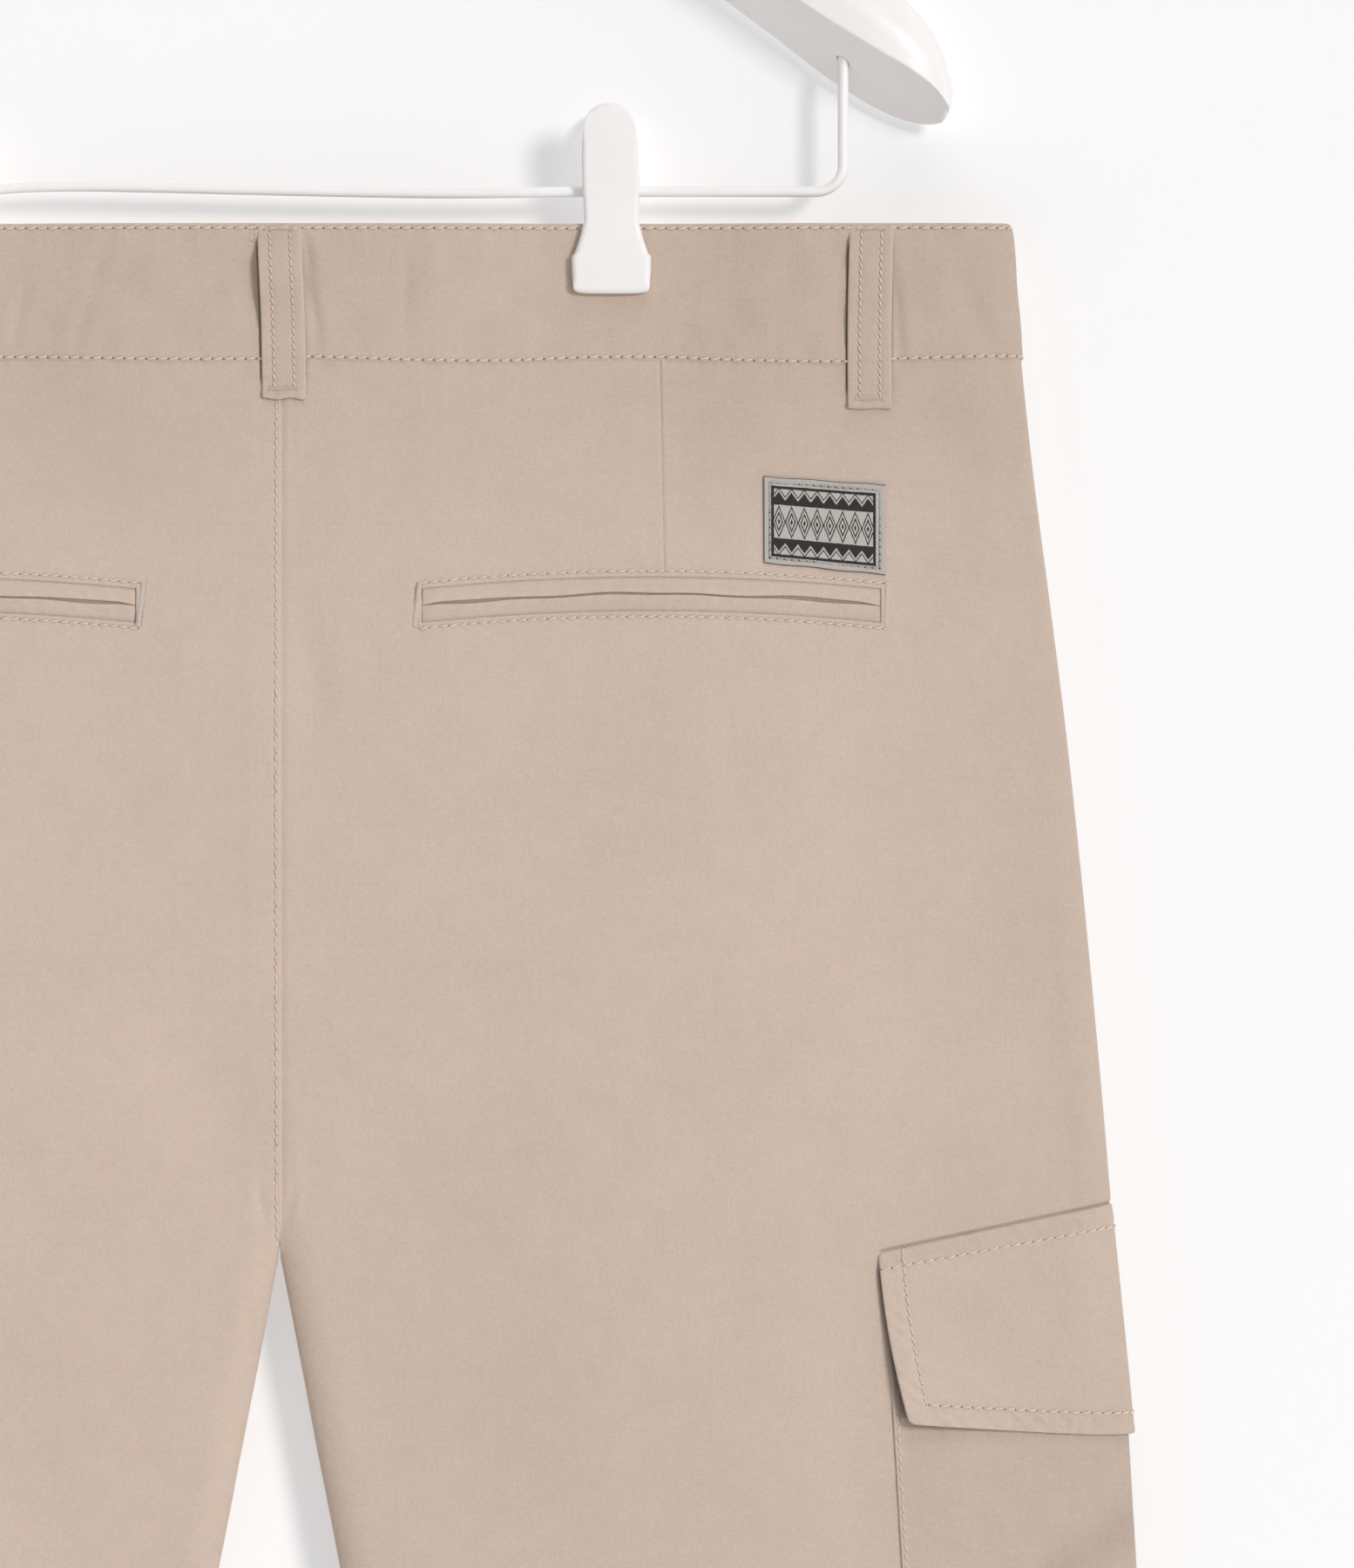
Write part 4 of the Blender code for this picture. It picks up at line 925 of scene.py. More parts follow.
def panelRelief(side, face, x, drop):
    # What is pressed and sewn into a panel's outer face.
    fromMiddle = side * x + (panelLap(face, drop) if side < 0 else -panel["tuck"])
    layers = panel["lapLift"] * (1 - ease((fromMiddle - panel["seamWidth"]) / (3 * mm))) * (side < 0)
    groove = -0.10 * mm * hump((fromMiddle - 1.55 * mm) / (0.55 * mm)) * (side < 0)
    ripple = 0.15 * mm * pucker(drop, 5.8 * mm, side) * np.exp(-fromMiddle / (7 * mm)) * (1.2 if side < 0 else 0.7)
    relief = (layers + groove + ripple) * inTorso(drop)
    top = drop - panel["top"]
    relief += 0.20 * mm * pucker(x, 8 * mm, 2 + face) * np.exp(-top / (6 * mm)) - 0.12 * mm * hump(top / (1.2 * mm))
    below, beside = fromFlapTop(face, x, drop)
    relief -= sideHollow(-face * (outerEdge(drop) - abs(x)), drop)
    relief -= 0.60 * mm * hump((below + 0.45 * mm) / (0.50 * mm)) * beside
    hem = ease((drop - panel["hemStitch"]) / (1.5 * mm))
    relief += hem * (0.3 * mm + 0.10 * mm * pucker(x - drop * 0.6, 6 * mm, face))
    relief -= 0.22 * mm * hump((drop - panel["hemStitch"]) / (0.9 * mm))
    if face > 0:
        return relief
    share = (drop - panel["top"]) / (welt["top"] - panel["top"])
    dart = panel["dartX"][0] * (1 - share) + panel["dartX"][1] * share
    away = abs(x) - dart
    inDart = ease((welt["top"] + weltArch(x) - drop) / (2 * mm))
    dartLine = -0.24 * (1 + np.exp(-top / (14 * mm))) * hump(away / (0.42 * mm))
    relief += inDart * mm * (dartLine + 0.14 * ease(1 - away / (5 * mm)) * (away > 0))
    gap = weltDistance(x, drop)
    relief -= welt["recess"] * ease(-gap / (0.32 * mm))
    relief += welt["lip"] * hump((gap - 0.55 * mm) / (0.50 * mm)) * ease(1 + gap / (0.3 * mm))
    relief -= 0.12 * mm * hump((gap - welt["stitchGap"]) / (0.45 * mm))
    relief += 0.12 * mm * pucker(x, 6 * mm, side) * hump((gap - 2.6 * mm) / (2.6 * mm)) * (gap > 0)
    return relief


def makePanel(side, face):
    ref, drop = np.meshgrid(*panelGrid(face))
    if face < 0:
        drop = drop + weltArch(ref) * ease((drop - 70 * mm) / (28 * mm)) * (1 - ease((drop - 124 * mm) / (28 * mm)))
    last = panel["gridWidth"] * mm - tube["wall"] / 2
    ref = np.minimum(ref, last)
    stretch = np.clip((ref - 185 * mm) / (last - 185 * mm), 0, 1)
    fromSide = last - ref + (outerEdge(drop) - last) * (1 - stretch)
    follow = np.minimum(fromSide, 71 * mm) * (1 - ease((fromSide - 75 * mm) / (70 * mm)))
    weight = ease((drop - 235 * mm) / (50 * mm)) * (1 - ease((drop - 298 * mm) / (50 * mm)))
    drop = drop - face * cargo["slope"] * follow * weight
    inner = innerEdge(drop)
    x = ref + inner * np.maximum(0, 1 - ref / (180 * mm)) + (outerEdge(drop) - last) * stretch
    shift = panelLap(face, drop) if side < 0 else -panel["tuck"]
    x = x - shift * inTorso(drop) * np.maximum(0, 1 - ref / (12 * mm))
    points, normals = onTube(face, x * side, drop)
    relief = panelRelief(side, face, x * side, drop)
    sink = panelSink(side, face, x * side, drop)
    where = f"{faceName(face)}_panel_{sideName(side)}"
    below, beside = fromFlapTop(face, x, drop)
    tone = 0.30 * hump((below + 0.40 * mm) / (0.40 * mm)) * beside  # painted shade in the crease along the flap's top edge
    if face < 0:  # and painted shade in the seat pocket's mouth, along the loops and in the flap's gap
        tone = tone + 0.40 * ease(-weltDistance(x, drop) / (0.45 * mm)) + loopShade(x * side, drop)
        tone = tone + flapShade(outerEdge(drop) - x, drop, 0.7 * mm)
    piece = slab(f"cloth_{where}", points, normals, sink, tube["wall"] / 2, x, drop, relief, tone=tone)
    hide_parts(where)


for side in (-1, 1):
    for face in (-1, 1):
        makePanel(side, face)
print("panels made")


# ---- waistband: one strip for each half, from the centre back round the side to the fly

band = dict(
    height=41.3 * mm, topStitch=1.6 * mm, bottomStitch=40.3 * mm,
    # X on the seat side and how far the lower seam wanders there, in mm
    wander=[(-235, 0), (-78, -0.4), (-7, 0.1), (9, -0.4), (37, 0.4), (71, 0.5), (87, -0.2), (111, -0.5),
            (137, 0.5), (168, 0.9), (184, 0.2), (220, -0.6), (235, 0)],
    cornerRound=1.0 * mm,  # how much its top corner is rounded off at the side
    cornerReach=1.0 * mm,
    underlapEnd=-36 * mm, overlapEnd=1.0 * mm,
)


def bandPoints(fromBack, fromFront, side, drop):
    # Places of the strip. fromBack and fromFront are X on each side, and the strip turns at the side fold.
    # Its lower seam wanders a little.
    pull = band["cornerRound"] * np.exp(-drop / band["cornerReach"])
    table = np.array(band["wander"])
    parts = []
    for face, x in ((-1, fromBack), (1, fromFront)):
        grid, drops = np.meshgrid(x, drop)
        edge = outerEdge(drops) - outerEdge(0 * drops)
        moved = grid + (edge - pull[:, None]) * ease((grid - 182 * mm) / (36 * mm))
        wave = 0.3 * np.sin(grid / mm / 19)
        if face < 0:
            wave = curveThrough(table[:, 0], table[:, 1], side * grid / mm)
        drops = drops + wave * mm * ease((drops - 12 * mm) / (28 * mm))
        parts.append((face, moved, drops))
    return parts


def makeWaistband(side):
    drop = spaced((0, 41, 0.9), (0.6, 3, 0.3), (38.8, 41.2, 0.25))
    rims = np.array([0, 0.13, 0.34]) * mm
    drop = np.unique(np.concatenate([drop[drop <= band["height"]], rims, band["height"] - rims]))
    edge, fold = float(outerEdge(0.0)), 14 * mm
    nearFold = edge - fold * np.linspace(1, 0, 22) ** 2
    plain = spaced((0, 0.4, 0.2), (1.2, (edge - fold) / mm, 1.0), (4.8, 8.4, 0.25), (168.4, 170.8, 0.25))
    back = np.concatenate([np.maximum(plain, tube["seamGap"]), nearFold])
    front = back[::-1][1:]
    if side > 0:
        front = np.concatenate([front[front > 8.3 * mm], np.linspace(8 * mm, band["underlapEnd"], 30)])
    else:
        front = np.concatenate([front[:-3], [-band["overlapEnd"] * 0.3, -band["overlapEnd"]]])
    sink = np.concatenate([0 * back, ease((7.5 * mm - front) / (4 * mm)) * (side > 0)])  # of the underlap
    parts = bandPoints(back, front, side, drop)
    laid = [onTube(face, grid * side, drops) for face, grid, drops in parts]
    points, normals = (np.concatenate(two, axis=1) for two in zip(*laid))
    run = chordSums(points, 1)[0]
    drops = drop[:, None] + 0 * run
    shownDrops = np.concatenate([part[2] for part in parts], axis=1)
    half = tube["bandWall"] / 2
    base = -(tube["bandWall"] + 0.3 * mm) * sink[None] + np.zeros_like(run)
    grooves = [hump((drops - band[key]) / (0.6 * mm)) for key in ("topStitch", "bottomStitch")]
    relief = -0.14 * mm * (grooves[0] + grooves[1])
    nearTop, nearBottom = np.exp(-drops / (7 * mm)), np.exp(-(band["height"] - drops) / (7 * mm))
    relief += 0.17 * mm * (pucker(run, 7.3 * mm, 1) * nearTop + pucker(run, 8.9 * mm, 3) * nearBottom)
    broad = np.sin(run / mm / 7.1 + drops / mm / 9 + side) * np.sin(drops / mm / 6.2 + run / mm / 31)
    close = np.sin(run / mm / 3.7 - drops / mm / 5 + 2 * side) * np.sin(run / mm / 17 + drops / mm / 8)
    relief += 0.32 * mm * (broad + 0.6 * close) * (1 - nearTop * 0.6 - nearBottom * 0.75)
    relief += 0.09 * mm * nearBottom ** 3  # its edge stays above the panels
    # Painted shade under and along the back loops.
    tone = loopShade(points[..., 0], drops) * (np.arange(points.shape[1]) < len(back))
    where = f"waistband_{sideName(side)}"
    u = np.concatenate([parts[0][1], 2 * edge - parts[1][1]], axis=1)
    piece = slab(f"cloth_{where}", points, normals, base, half, u, shownDrops, relief, tone=tone + 0.012)
    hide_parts(where)
    full = halfRound(borderDistance(points), half)
    return points + normals * (base + half * full + relief)[..., None], normals, drop


def sewWaistband(side, points, normals, drop):
    end = points.shape[1] - (31 if side > 0 else 2)  # up to the underlap
    for row in (nearest(drop, band["topStitch"]), nearest(drop, band["bottomStitch"])):
        sew("waistband", points[row, 1:end], normals[row, 1:end], hole=1.45)
    if side < 0:  # the lapped end is sewn across
        x = np.full(30, band["overlapEnd"] * -1 + 2.2 * mm)
        spots, outs = onTube(1, -x, np.linspace(2.5, 39, 30) * mm)
        sew("waistband", spots + outs * (tube["bandWall"] / 2 - 0.05 * mm), outs)


for side in (-1, 1):
    sewWaistband(side, *makeWaistband(side))
print("waistband made")


# ---- belt loops

def makeLoop(name, middle, lean, foot, stand, face, wave):
    # A strip that is sewn down at both ends and stands off the waistband in its upper half, flat across.
    foot = foot * mm
    drop = spaced((0.3, foot / mm, 1.0), (foot / mm - 7, foot / mm, 0.3), (0.3, 6, 0.3))
    across = np.sort(np.concatenate([np.linspace(-1, 1, 23), [-0.99, -0.96, 0.96, 0.99]])) * loop["width"] / 2
    a, drops = np.meshgrid(across, drop)
    level = drops  # before the foot's uneven edge and rounded corners
    drops = drops + wave * mm * np.cos((a + 2.2 * mm) / mm * 0.75) * ease((drops - foot + 6 * mm) / (6 * mm))
    below = np.clip((level - foot + loop["corner"]) / loop["corner"], 0, 1)
    a = a * (1 - loop["corner"] * (1 - np.sqrt(1 - below**2 * 0.999)) / (loop["width"] / 2))
    x = loopMiddle(drops, middle, lean, foot / mm) + a
    stand = stand * mm * ease((drops - 4 * mm) / (8 * mm)) * (1 - ease((drops - 16 * mm) / (17 * mm)))
    stand += 0.3 * mm * ease((drops - 3 * mm) / (3 * mm)) * (1 - ease((drops - foot + 9 * mm) / (5 * mm)))
    points, normals = onTube(face, x, drops)
    reach = face * points[..., 1]
    laid = reach * 0.35 + reach.max(axis=1, keepdims=True) * 0.65  # nearly flat across
    onBand = 1 - ease((drops - 40 * mm) / (1.5 * mm))
    under = tube["bandWall"] / 2 * onBand + tube["wall"] / 2 * (1 - onBand) + 0.05 * mm
    under = under - loop["pressed"] * (1 - ease((drops - 2.5 * mm) / (4 * mm)))
    points[..., 1] = face * (laid + under + stand + loop["thickness"] / 2)
    normals = np.zeros_like(points) + (0, face, 0)
    fromSide, fromFoot = loop["width"] / 2 - abs(a), foot - level
    relief = -0.24 * mm * hump((fromSide - loop["stitchInset"]) / (0.7 * mm))
    relief += 0.17 * mm * pucker(level, 4.8 * mm, middle + np.sign(a)) * hump(fromSide / (3 * mm))
    relief -= 0.26 * mm * (hump((fromFoot - 3.0 * mm) / (1.2 * mm)) + hump((level - 1.7 * mm) / (1.0 * mm)))
    relief += 0.50 * mm * hump((fromFoot - 1.35 * mm) / (0.95 * mm))
    relief += 0.26 * mm * np.sin(level / mm / 3.7 + middle + a / mm / 5) * (1 - fromSide / loop["width"])
    piece = slab(f"cloth_{name}", points, normals, 0.0, loop["thickness"] / 2, abs(x), drops, relief, tone=0.02)
    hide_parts(name)
    for inset in (-1, 1):
        column = nearest(across, inset * (loop["width"] / 2 - loop["stitchInset"]))
        surface = points[:, column] + normals[:, column] * (loop["thickness"] / 2 + relief[:, column, None])
        pick = (drop > 2.6 * mm) & (drop < foot - 3.2 * mm)
        sew("loops", surface[pick], normals[pick, column], pitch=2.3 * mm, radius=0.28 * mm, slant=0.26 * mm)
    for height, wide in ((1.7 * mm, 8.6 * mm), (foot - 3.0 * mm, 9.4 * mm)):
        row = nearest(drop, height)
        inside = abs(across) < wide / 2
        path = points[row, inside] + normals[row, inside] * (loop["thickness"] / 2 + relief[row, inside, None])
        bartack("tacks", path, normals[row, inside], 1.6 * mm)
    if lean > 1:  # a scrap of its raw end shows beside its top, sewn down
        lift = tube["bandWall"] / 2
        for x in (-8.3, -7.1):
            spots, outs = onTube(face, np.full(12, x * mm), np.linspace(0.5, 5.2, 12) * mm)
            sew("tacks", spots + outs * lift, outs, pitch=1.5 * mm, radius=0.20 * mm, slant=0.05 * mm)
        spots, outs = onTube(face, np.linspace(-8.7, -6.7, 8) * mm, np.full(8, 5.3 * mm))
        bartack("tacks", spots + outs * lift, outs, 1.0 * mm)


for place in loop["places"]:
    makeLoop(*place)
print("belt loops made")


# ---- seat pocket welts

def weltMouth(x, place):
    # Drop of a welt's inner edge: the mouth stands open a little near both ends, unevenly.
    t = abs(x) / mm
    gape = 0.40 + 0.62 * hump((t - 58) / 10) + 0.75 * hump((t - 160) / 13) + 0.18 * hump((t - 100) / 14)
    ends = ease((t - 42.4) / 6) * ease((179.3 - t) / 7)
    wobble = 0.22 * np.sin(t / 9.5) + 0.16 * np.sin(t / 4.3 + 1)
    return welt["mouth"] + (wobble * ends + place * (0.08 + gape * ends) / 2) * mm


def makeWelt(side, place):
    columns = spaced((welt["fromX"] / mm - 0.3, welt["toX"] / mm + 0.3, 1.2))
    share = 0.5 - 0.5 * np.cos(np.linspace(0, math.pi, 25))
    x, t = np.meshgrid(columns, share)
    outerDrop = welt["top"] - 0.25 * mm if place < 0 else welt["bottom"] + 0.25 * mm
    level = outerDrop * (1 - t) + weltMouth(x, place) * t
    drop = level + weltArch(x)
    points, normals = onTube(-1, x * side, drop)
    half = welt["thickness"] / 2
    base = tube["wall"] / 2 - welt["sunk"] - half
    fromEnd = np.minimum(x - welt["fromX"], welt["toX"] - x)
    fromSeam = np.maximum(np.minimum(abs(level - outerDrop) - 0.3 * mm, fromEnd), 0)
    relief = -0.50 * mm * np.exp(-fromSeam / (0.70 * mm))
    relief += 0.16 * mm * np.sin(math.pi * t) + (0.12 if place < 0 else -0.16) * mm * ease((t - 0.3) / 0.7)
    relief += (0.17 if place < 0 else 0.22) * mm * pucker(x + level * 0.5, 5.0 * mm, side + place) * t
    relief = relief * halfRound(borderDistance(points), half)
    where = f"welt_{'upper' if place < 0 else 'lower'}_{sideName(side)}"
    tone = 0.02 if place < 0 else 0.05
    piece = slab(f"cloth_{where}", points, normals, base, half, x, drop, relief, tone=tone)
    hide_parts(where)


def onPanel(side, face, x, drop, lift=0.0):
    # Points on a panel's outer face, for what is sewn to it. x is signed.
    x, drop = np.broadcast_arrays(np.asarray(x, float), np.asarray(drop, float))
    points, normals = onTube(face, x, drop)
    out = tube["wall"] / 2 + panelSink(side, face, x, drop) + panelRelief(side, face, x, drop) + lift
    return points + normals * out[..., None], normals


def sewPocket(side):
    gap = welt["stitchGap"]
    x = np.linspace(welt["fromX"] - 0.6 * mm, welt["toX"] + 0.6 * mm, 150)
    for level in (welt["top"] - gap, welt["bottom"] + gap):
        points, normals = onPanel(side, -1, x * side, level + weltArch(x))
        sew("seat", points, normals, pitch=2.95 * mm, radius=0.30 * mm)
    for end, out in ((welt["fromX"] - 1.3 * mm, -1), (welt["toX"] + 1.6 * mm, 1)):
        level = np.linspace(welt["top"] - 1.7 * mm, welt["bottom"] + 0.6 * mm, 40)
        x = end - (0.125 if out < 0 else 0.04) * side * (level - welt["mouth"])
        points, normals = onPanel(side, -1, x * side, level + weltArch(np.full(40, end)))
        bartack("seatTacks", points, normals, 1.9 * mm, 0.40 * mm)


for side in (-1, 1):
    for place in (-1, 1):
        makeWelt(side, place)
    sewPocket(side)
print("seat pockets made")


# ---- centre seams and hems

def sewSeams():
    drop = np.linspace(41.5, 303, 600) * mm
    points, normals = onPanel(-1, -1, np.full(600, panel["backLap"] - 1.55 * mm), drop)
    sew("seat", points, normals, pitch=2.85 * mm, radius=0.25 * mm, slant=0.20 * mm)
    for side in (-1, 1):
        for face in (-1, 1):
            edge, end = float(outerEdge(panel["hemStitch"])), float(innerEdge(panel["hemStitch"]))
            x = edge - (edge - end) * (0.5 - 0.5 * np.cos(np.linspace(0, math.pi, 400)))
            points, normals = onPanel(side, face, x * side, np.full(400, panel["hemStitch"]))
            sew("hems", points, normals)
    # The fly: two rows down the left front that curve in to the centre, and the seam below.
    for inset in (0, 5.6 * mm):
        down = np.linspace(42 * mm, 142 * mm, 120)
        turn = np.linspace(0, math.pi / 2, 80)[1:]
        x = np.concatenate([np.full(120, -37 * mm + inset), (-37 * mm + inset) * np.cos(turn)])
        drop = np.concatenate([down, 142 * mm + (44 * mm - inset) * np.sin(turn)])
        points, normals = onPanel(-1, 1, x, drop)
        sew("fly", points, normals, pitch=2.9 * mm)
    drop = np.linspace(194, 302, 250) * mm
    points, normals = onPanel(-1, 1, np.full(250, panel["backLap"] - 1.55 * mm), drop)
    sew("fly", points, normals, pitch=2.9 * mm)
    points, normals = onPanel(-1, 1, np.full(20, -3.5 * mm), np.linspace(180, 190, 20) * mm)
    bartack("tacks", points, normals, 1.8 * mm)


sewSeams()
print("seams sewn")


# ---- cargo pockets and flaps, wrapped round the side seams

def aroundColumns(width, count):
    # Distances from the fold, gathered near it, as shares of a half width.
    near = np.linspace(0, 1, count) ** 1.6
    near = np.sort(np.concatenate([near, 1 - np.array([0.1, 0.35, 0.7]) * mm / width]))
    return np.concatenate([-near[::-1], near[1:]])


def roundedPatch(share, down, corner, width, height):
    # Maps a unit grid onto a patch with rounded lower corners, as circular arcs: rows near the bottom draw in.
    below = np.clip((down * height - (height - corner)) / corner, 0, 1)
    draw = corner * (1 - np.sqrt(1 - below**2))
    return share * (width - draw) / width


def makeCargoPocket(side):
    share = aroundColumns(cargo["halfWidth"], 84)
    height = cargo["bottom"] - cargo["mouth"]
    down = np.concatenate([[0, 0.13, 0.4], np.arange(1.2, 168, 1.7), [169, 170, 170.5, 170.87, 171]]) * mm / height
    t, d = np.meshgrid(share, down)
    t = roundedPatch(t, d, cargo["corner"], cargo["halfWidth"], height)
    around = t * cargo["halfWidth"]
    drop = (cargo["mouth"] + cargo["slope"] * around) * (1 - d) + cargo["bottom"] * d
    points, normals = roundSide(side, around, drop)
    border = borderDistance(points)
    half = cargo["thickness"] / 2
    full = cargo["bulge"] * ease(border / (22 * mm)) * ease(abs(around) / (16 * mm))
    base = tube["wall"] / 2 + half + full - 0.05 * mm - sideHollow(around, drop)
    relief = -0.2 * mm * hump((border - cargo["stitchInset"]) / (0.6 * mm))
    relief += 0.12 * mm * pucker(drop + around, 7 * mm, side) * np.exp(-border / (5 * mm))
    fold = (drop - 386 * mm - 0.55 * around) / 1.14
    near = 1 - ease((abs(around - 8 * mm) - 14 * mm) / (20 * mm))
    relief -= 0.95 * mm * hump(fold / (6.5 * mm)) * near
    relief += 0.35 * mm * hump((fold + 13 * mm) / (7 * mm)) * hump((around - 12 * mm) / (18 * mm))
    relief += 0.14 * mm * np.sin(around / mm / 9 + drop / mm / 14) * np.sin(drop / mm / 17)
    relief += 0.20 * mm * pucker(drop + around * 0.4, 5.2 * mm, side + 2) * hump((around - 9 * mm) / (8 * mm))
    relief = relief * ease(abs(around) / (9 * mm))
    where = f"cargo_pocket_{sideName(side)}"
    # Painted shade along the diagonal crease and in the gap at the flap's free edge, on a pocket made a little
    # darker all over.
    tone = 0.035 + 0.095 * hump((fold - 2 * mm) / (7.5 * mm)) * near + flapShade(around, drop, 1.6 * mm)
    piece = slab(f"cloth_{where}", points, normals, base, half, outerEdge(drop) - around, drop, relief, tone=tone)
    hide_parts(where)
    rows, columns = points.shape[:2]
    surface = points + normals * ((base + half * 0.9)[..., None] + relief[..., None])
    inset = cargo["stitchInset"]
    left, right = (nearest(run[rows // 3], inset) for run in chordSums(points, 1))
    topRun, bottomRun = (run[:, columns // 4] for run in chordSums(points, 0))
    first, last = nearest(topRun, 45 * mm), nearest(bottomRun, inset)  # from under the flap to the lower row
    for column in (left, right):
        sew("cargo", surface[first:last, column], normals[first:last, column], pitch=2.9 * mm, radius=0.23 * mm,
            hole=1.1)
    sew("cargo", surface[last, left:right], normals[last, left:right], pitch=2.9 * mm)


def makeCargoFlap(side):
    share = aroundColumns(cargo["flapTopHalf"], 110)
    height = cargo["flapPoint"] - cargo["flapTop"]
    down = np.concatenate([[0, 0.13, 0.4], np.arange(1.2, 66, 1.1), [67, 67.7, 68.2, 68.47, 68.6]]) * mm / height
    t, d = np.meshgrid(share, down)
    t = roundedPatch(t, d, cargo["flapCorner"], cargo["flapTopHalf"], height)
    t = roundedPatch(t, 1 - d, cargo["topCorner"], cargo["flapTopHalf"], height)
    around = t * (cargo["flapTopHalf"] * (1 - d**2) + cargo["flapBottomHalf"] * d**2)
    drop = (cargo["flapTop"] + cargo["slope"] * around) * (1 - d) + flapBottom(around) * d
    points, normals = roundSide(side, around, drop)
    border = borderDistance(points)
    half = cargo["flapThickness"] / 2
    lifted = ease(d * height / cargo["flapSeam"])
    corner = ease((abs(t) - 0.45) / 0.55) * ease((d - 0.25) / 0.75)
    over = cargo["thickness"] + 0.05 * mm + cargo["bulge"] * 0.7 * ease(abs(around) / (16 * mm))
    base = tube["wall"] / 2 + half + 0.05 * mm + lifted * over + 2.7 * mm * corner
    base = base - cargo["pressed"] * np.exp(-d * height / (4 * mm)) + 0.6 * mm * ease(d)
    flush = tube["wall"] / 2 - half + (0.2 + 2.4 * d) * mm
    base = base + (flush - base) * atFold(around)
    inset = cargo["flapInset"]
    inBand = ease((inset - border) / (0.8 * mm))
    relief = 0.22 * mm * inBand * ease(border / (1.6 * mm)) - 0.16 * mm * hump((border - inset) / (0.6 * mm))
    ripple = pucker(chordSums(points, 1)[0] + drop * 1.3, 4.6 * mm, side)
    relief += 0.40 * mm * ripple * hump((border - 3.4 * mm) / (3.0 * mm))
    relief += 0.10 * mm * np.sin(around / mm / 8 + 1) * np.sin(drop / mm / 9)
    relief = relief * (0.25 + 0.75 * ease(abs(around) / (8 * mm)))
    where = f"cargo_flap_{sideName(side)}"
    piece = slab(f"cloth_{where}", points, normals, base, half, outerEdge(drop) - around, drop, relief, tone=-0.02)
    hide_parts(where)
    rows, columns = points.shape[:2]
    surface = points + normals * ((base + half) + relief - 0.02 * mm)[..., None]
    topRun = chordSums(points, 0)[0]
    top = nearest(topRun[:, columns // 3], inset)
    at = np.interp(1 - inset / topRun[-1], down, np.arange(rows))  # the row that lies the inset above the edge
    row, part, column = at.astype(int), (at % 1)[:, None], np.arange(columns)
    lower, lowerNormals = (a[row, column] * (1 - part) + a[row + 1, column] * part for a in (surface, normals))
    left, right = (nearest(run[rows // 2], inset) for run in chordSums(points, 1))
    tail = max(1, left // 4)
    sew("cargo", surface[top, tail:-tail], normals[top, tail:-tail], hole=1.2)
    sew("cargo", lower[left:right], lowerNormals[left:right], hole=1.2)
    for column in (left, right):
        end = int(at[column]) + 1
        sew("cargo", surface[1:end, column], normals[1:end, column], pitch=3.0 * mm, radius=0.24 * mm, hole=1.2)


for side in (-1, 1):
    makeCargoPocket(side)
    makeCargoFlap(side)
print("cargo pockets made")

# ---- label

label = dict(
    x=162.5 * mm, drop=90.0 * mm, width=36.3 * mm, height=26.4 * mm, slope=0.0855, flare=0.029,
    thickness=0.80 * mm, stitchInset=1.75 * mm,
)


def labelPlace(u, v):
    # u and v are distances from the label's middle. It is askew, and its far end is a little taller.
    x = label["x"] + u
    return x, label["drop"] + v + u * (label["slope"] + label["flare"] * v / label["height"])


def makeLabel():
    share = np.concatenate([[0, 0.06, 0.2], np.arange(0.5, 35.9, 0.42), [36.1, 36.24, 36.3]]) * mm
    u = share - label["width"] / 2
    v = np.concatenate([[0, 0.06, 0.2], np.arange(0.5, 26.0, 0.42), [26.2, 26.34, 26.4]]) * mm - label["height"] / 2
    u, v = np.meshgrid(u, v)
    uneven = 0.12 * mm * np.sin(u / mm / 2.7) * hump((abs(v) - label["height"] / 2) / (2 * mm))
    x, drop = labelPlace(u, v + uneven)
    points, normals = onTube(-1, x, drop)
    half = label["thickness"] / 2
    border = borderDistance(points)
    relief = -0.16 * mm * hump((border - label["stitchInset"]) / (0.5 * mm))
    relief += 0.08 * mm * pucker(u + v, 4.4 * mm, 1) * np.exp(-border / (2.5 * mm))
    relief += 0.10 * mm * np.sin(u / mm / 5 + 1) * np.sin(v / mm / 6)
    piece = slab("woven_label", points, normals, tube["wall"] / 2 + half + 0.05 * mm, half, u, v, relief,
                 "label")
    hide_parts("label_patch")
    a, b = label["width"] / 2 - label["stitchInset"], label["height"] / 2 - label["stitchInset"]
    for u0, v0, u1, v1 in ((-a, -b, a, -b), (a, -b, a, b), (a, b, -a, b), (-a, b, -a, -b)):
        t = np.linspace(0, 1, 60)
        x, drop = labelPlace(u0 + (u1 - u0) * t, v0 + (v1 - v0) * t)
        points, normals = onTube(-1, x, drop)
        out = tube["wall"] / 2 + label["thickness"] - 0.08 * mm
        sew("label", points + normals * out, normals, pitch=2.2 * mm, radius=0.20 * mm, slant=0.22 * mm, hole=1.7)


makeLabel()
print("label made")


# ---- closing: a four-hole button, its buttonhole, and the zip behind the fly

button = dict(
    x=-13 * mm, drop=20 * mm, radius=8.5 * mm, thickness=3.2 * mm, hole=0.9 * mm, spacing=3.0 * mm,
    # the face from its middle to the rim: radius and height as shares
    profile=[(0, 0.62), (0.30, 0.62), (0.52, 0.64), (0.64, 0.74), (0.72, 0.93), (0.80, 1.0), (0.90, 0.97),
             (0.97, 0.84), (1.0, 0.62), (1.0, 0.34), (0.96, 0.12), (0.86, 0.02), (0.6, 0.0), (0, 0.0)],
)


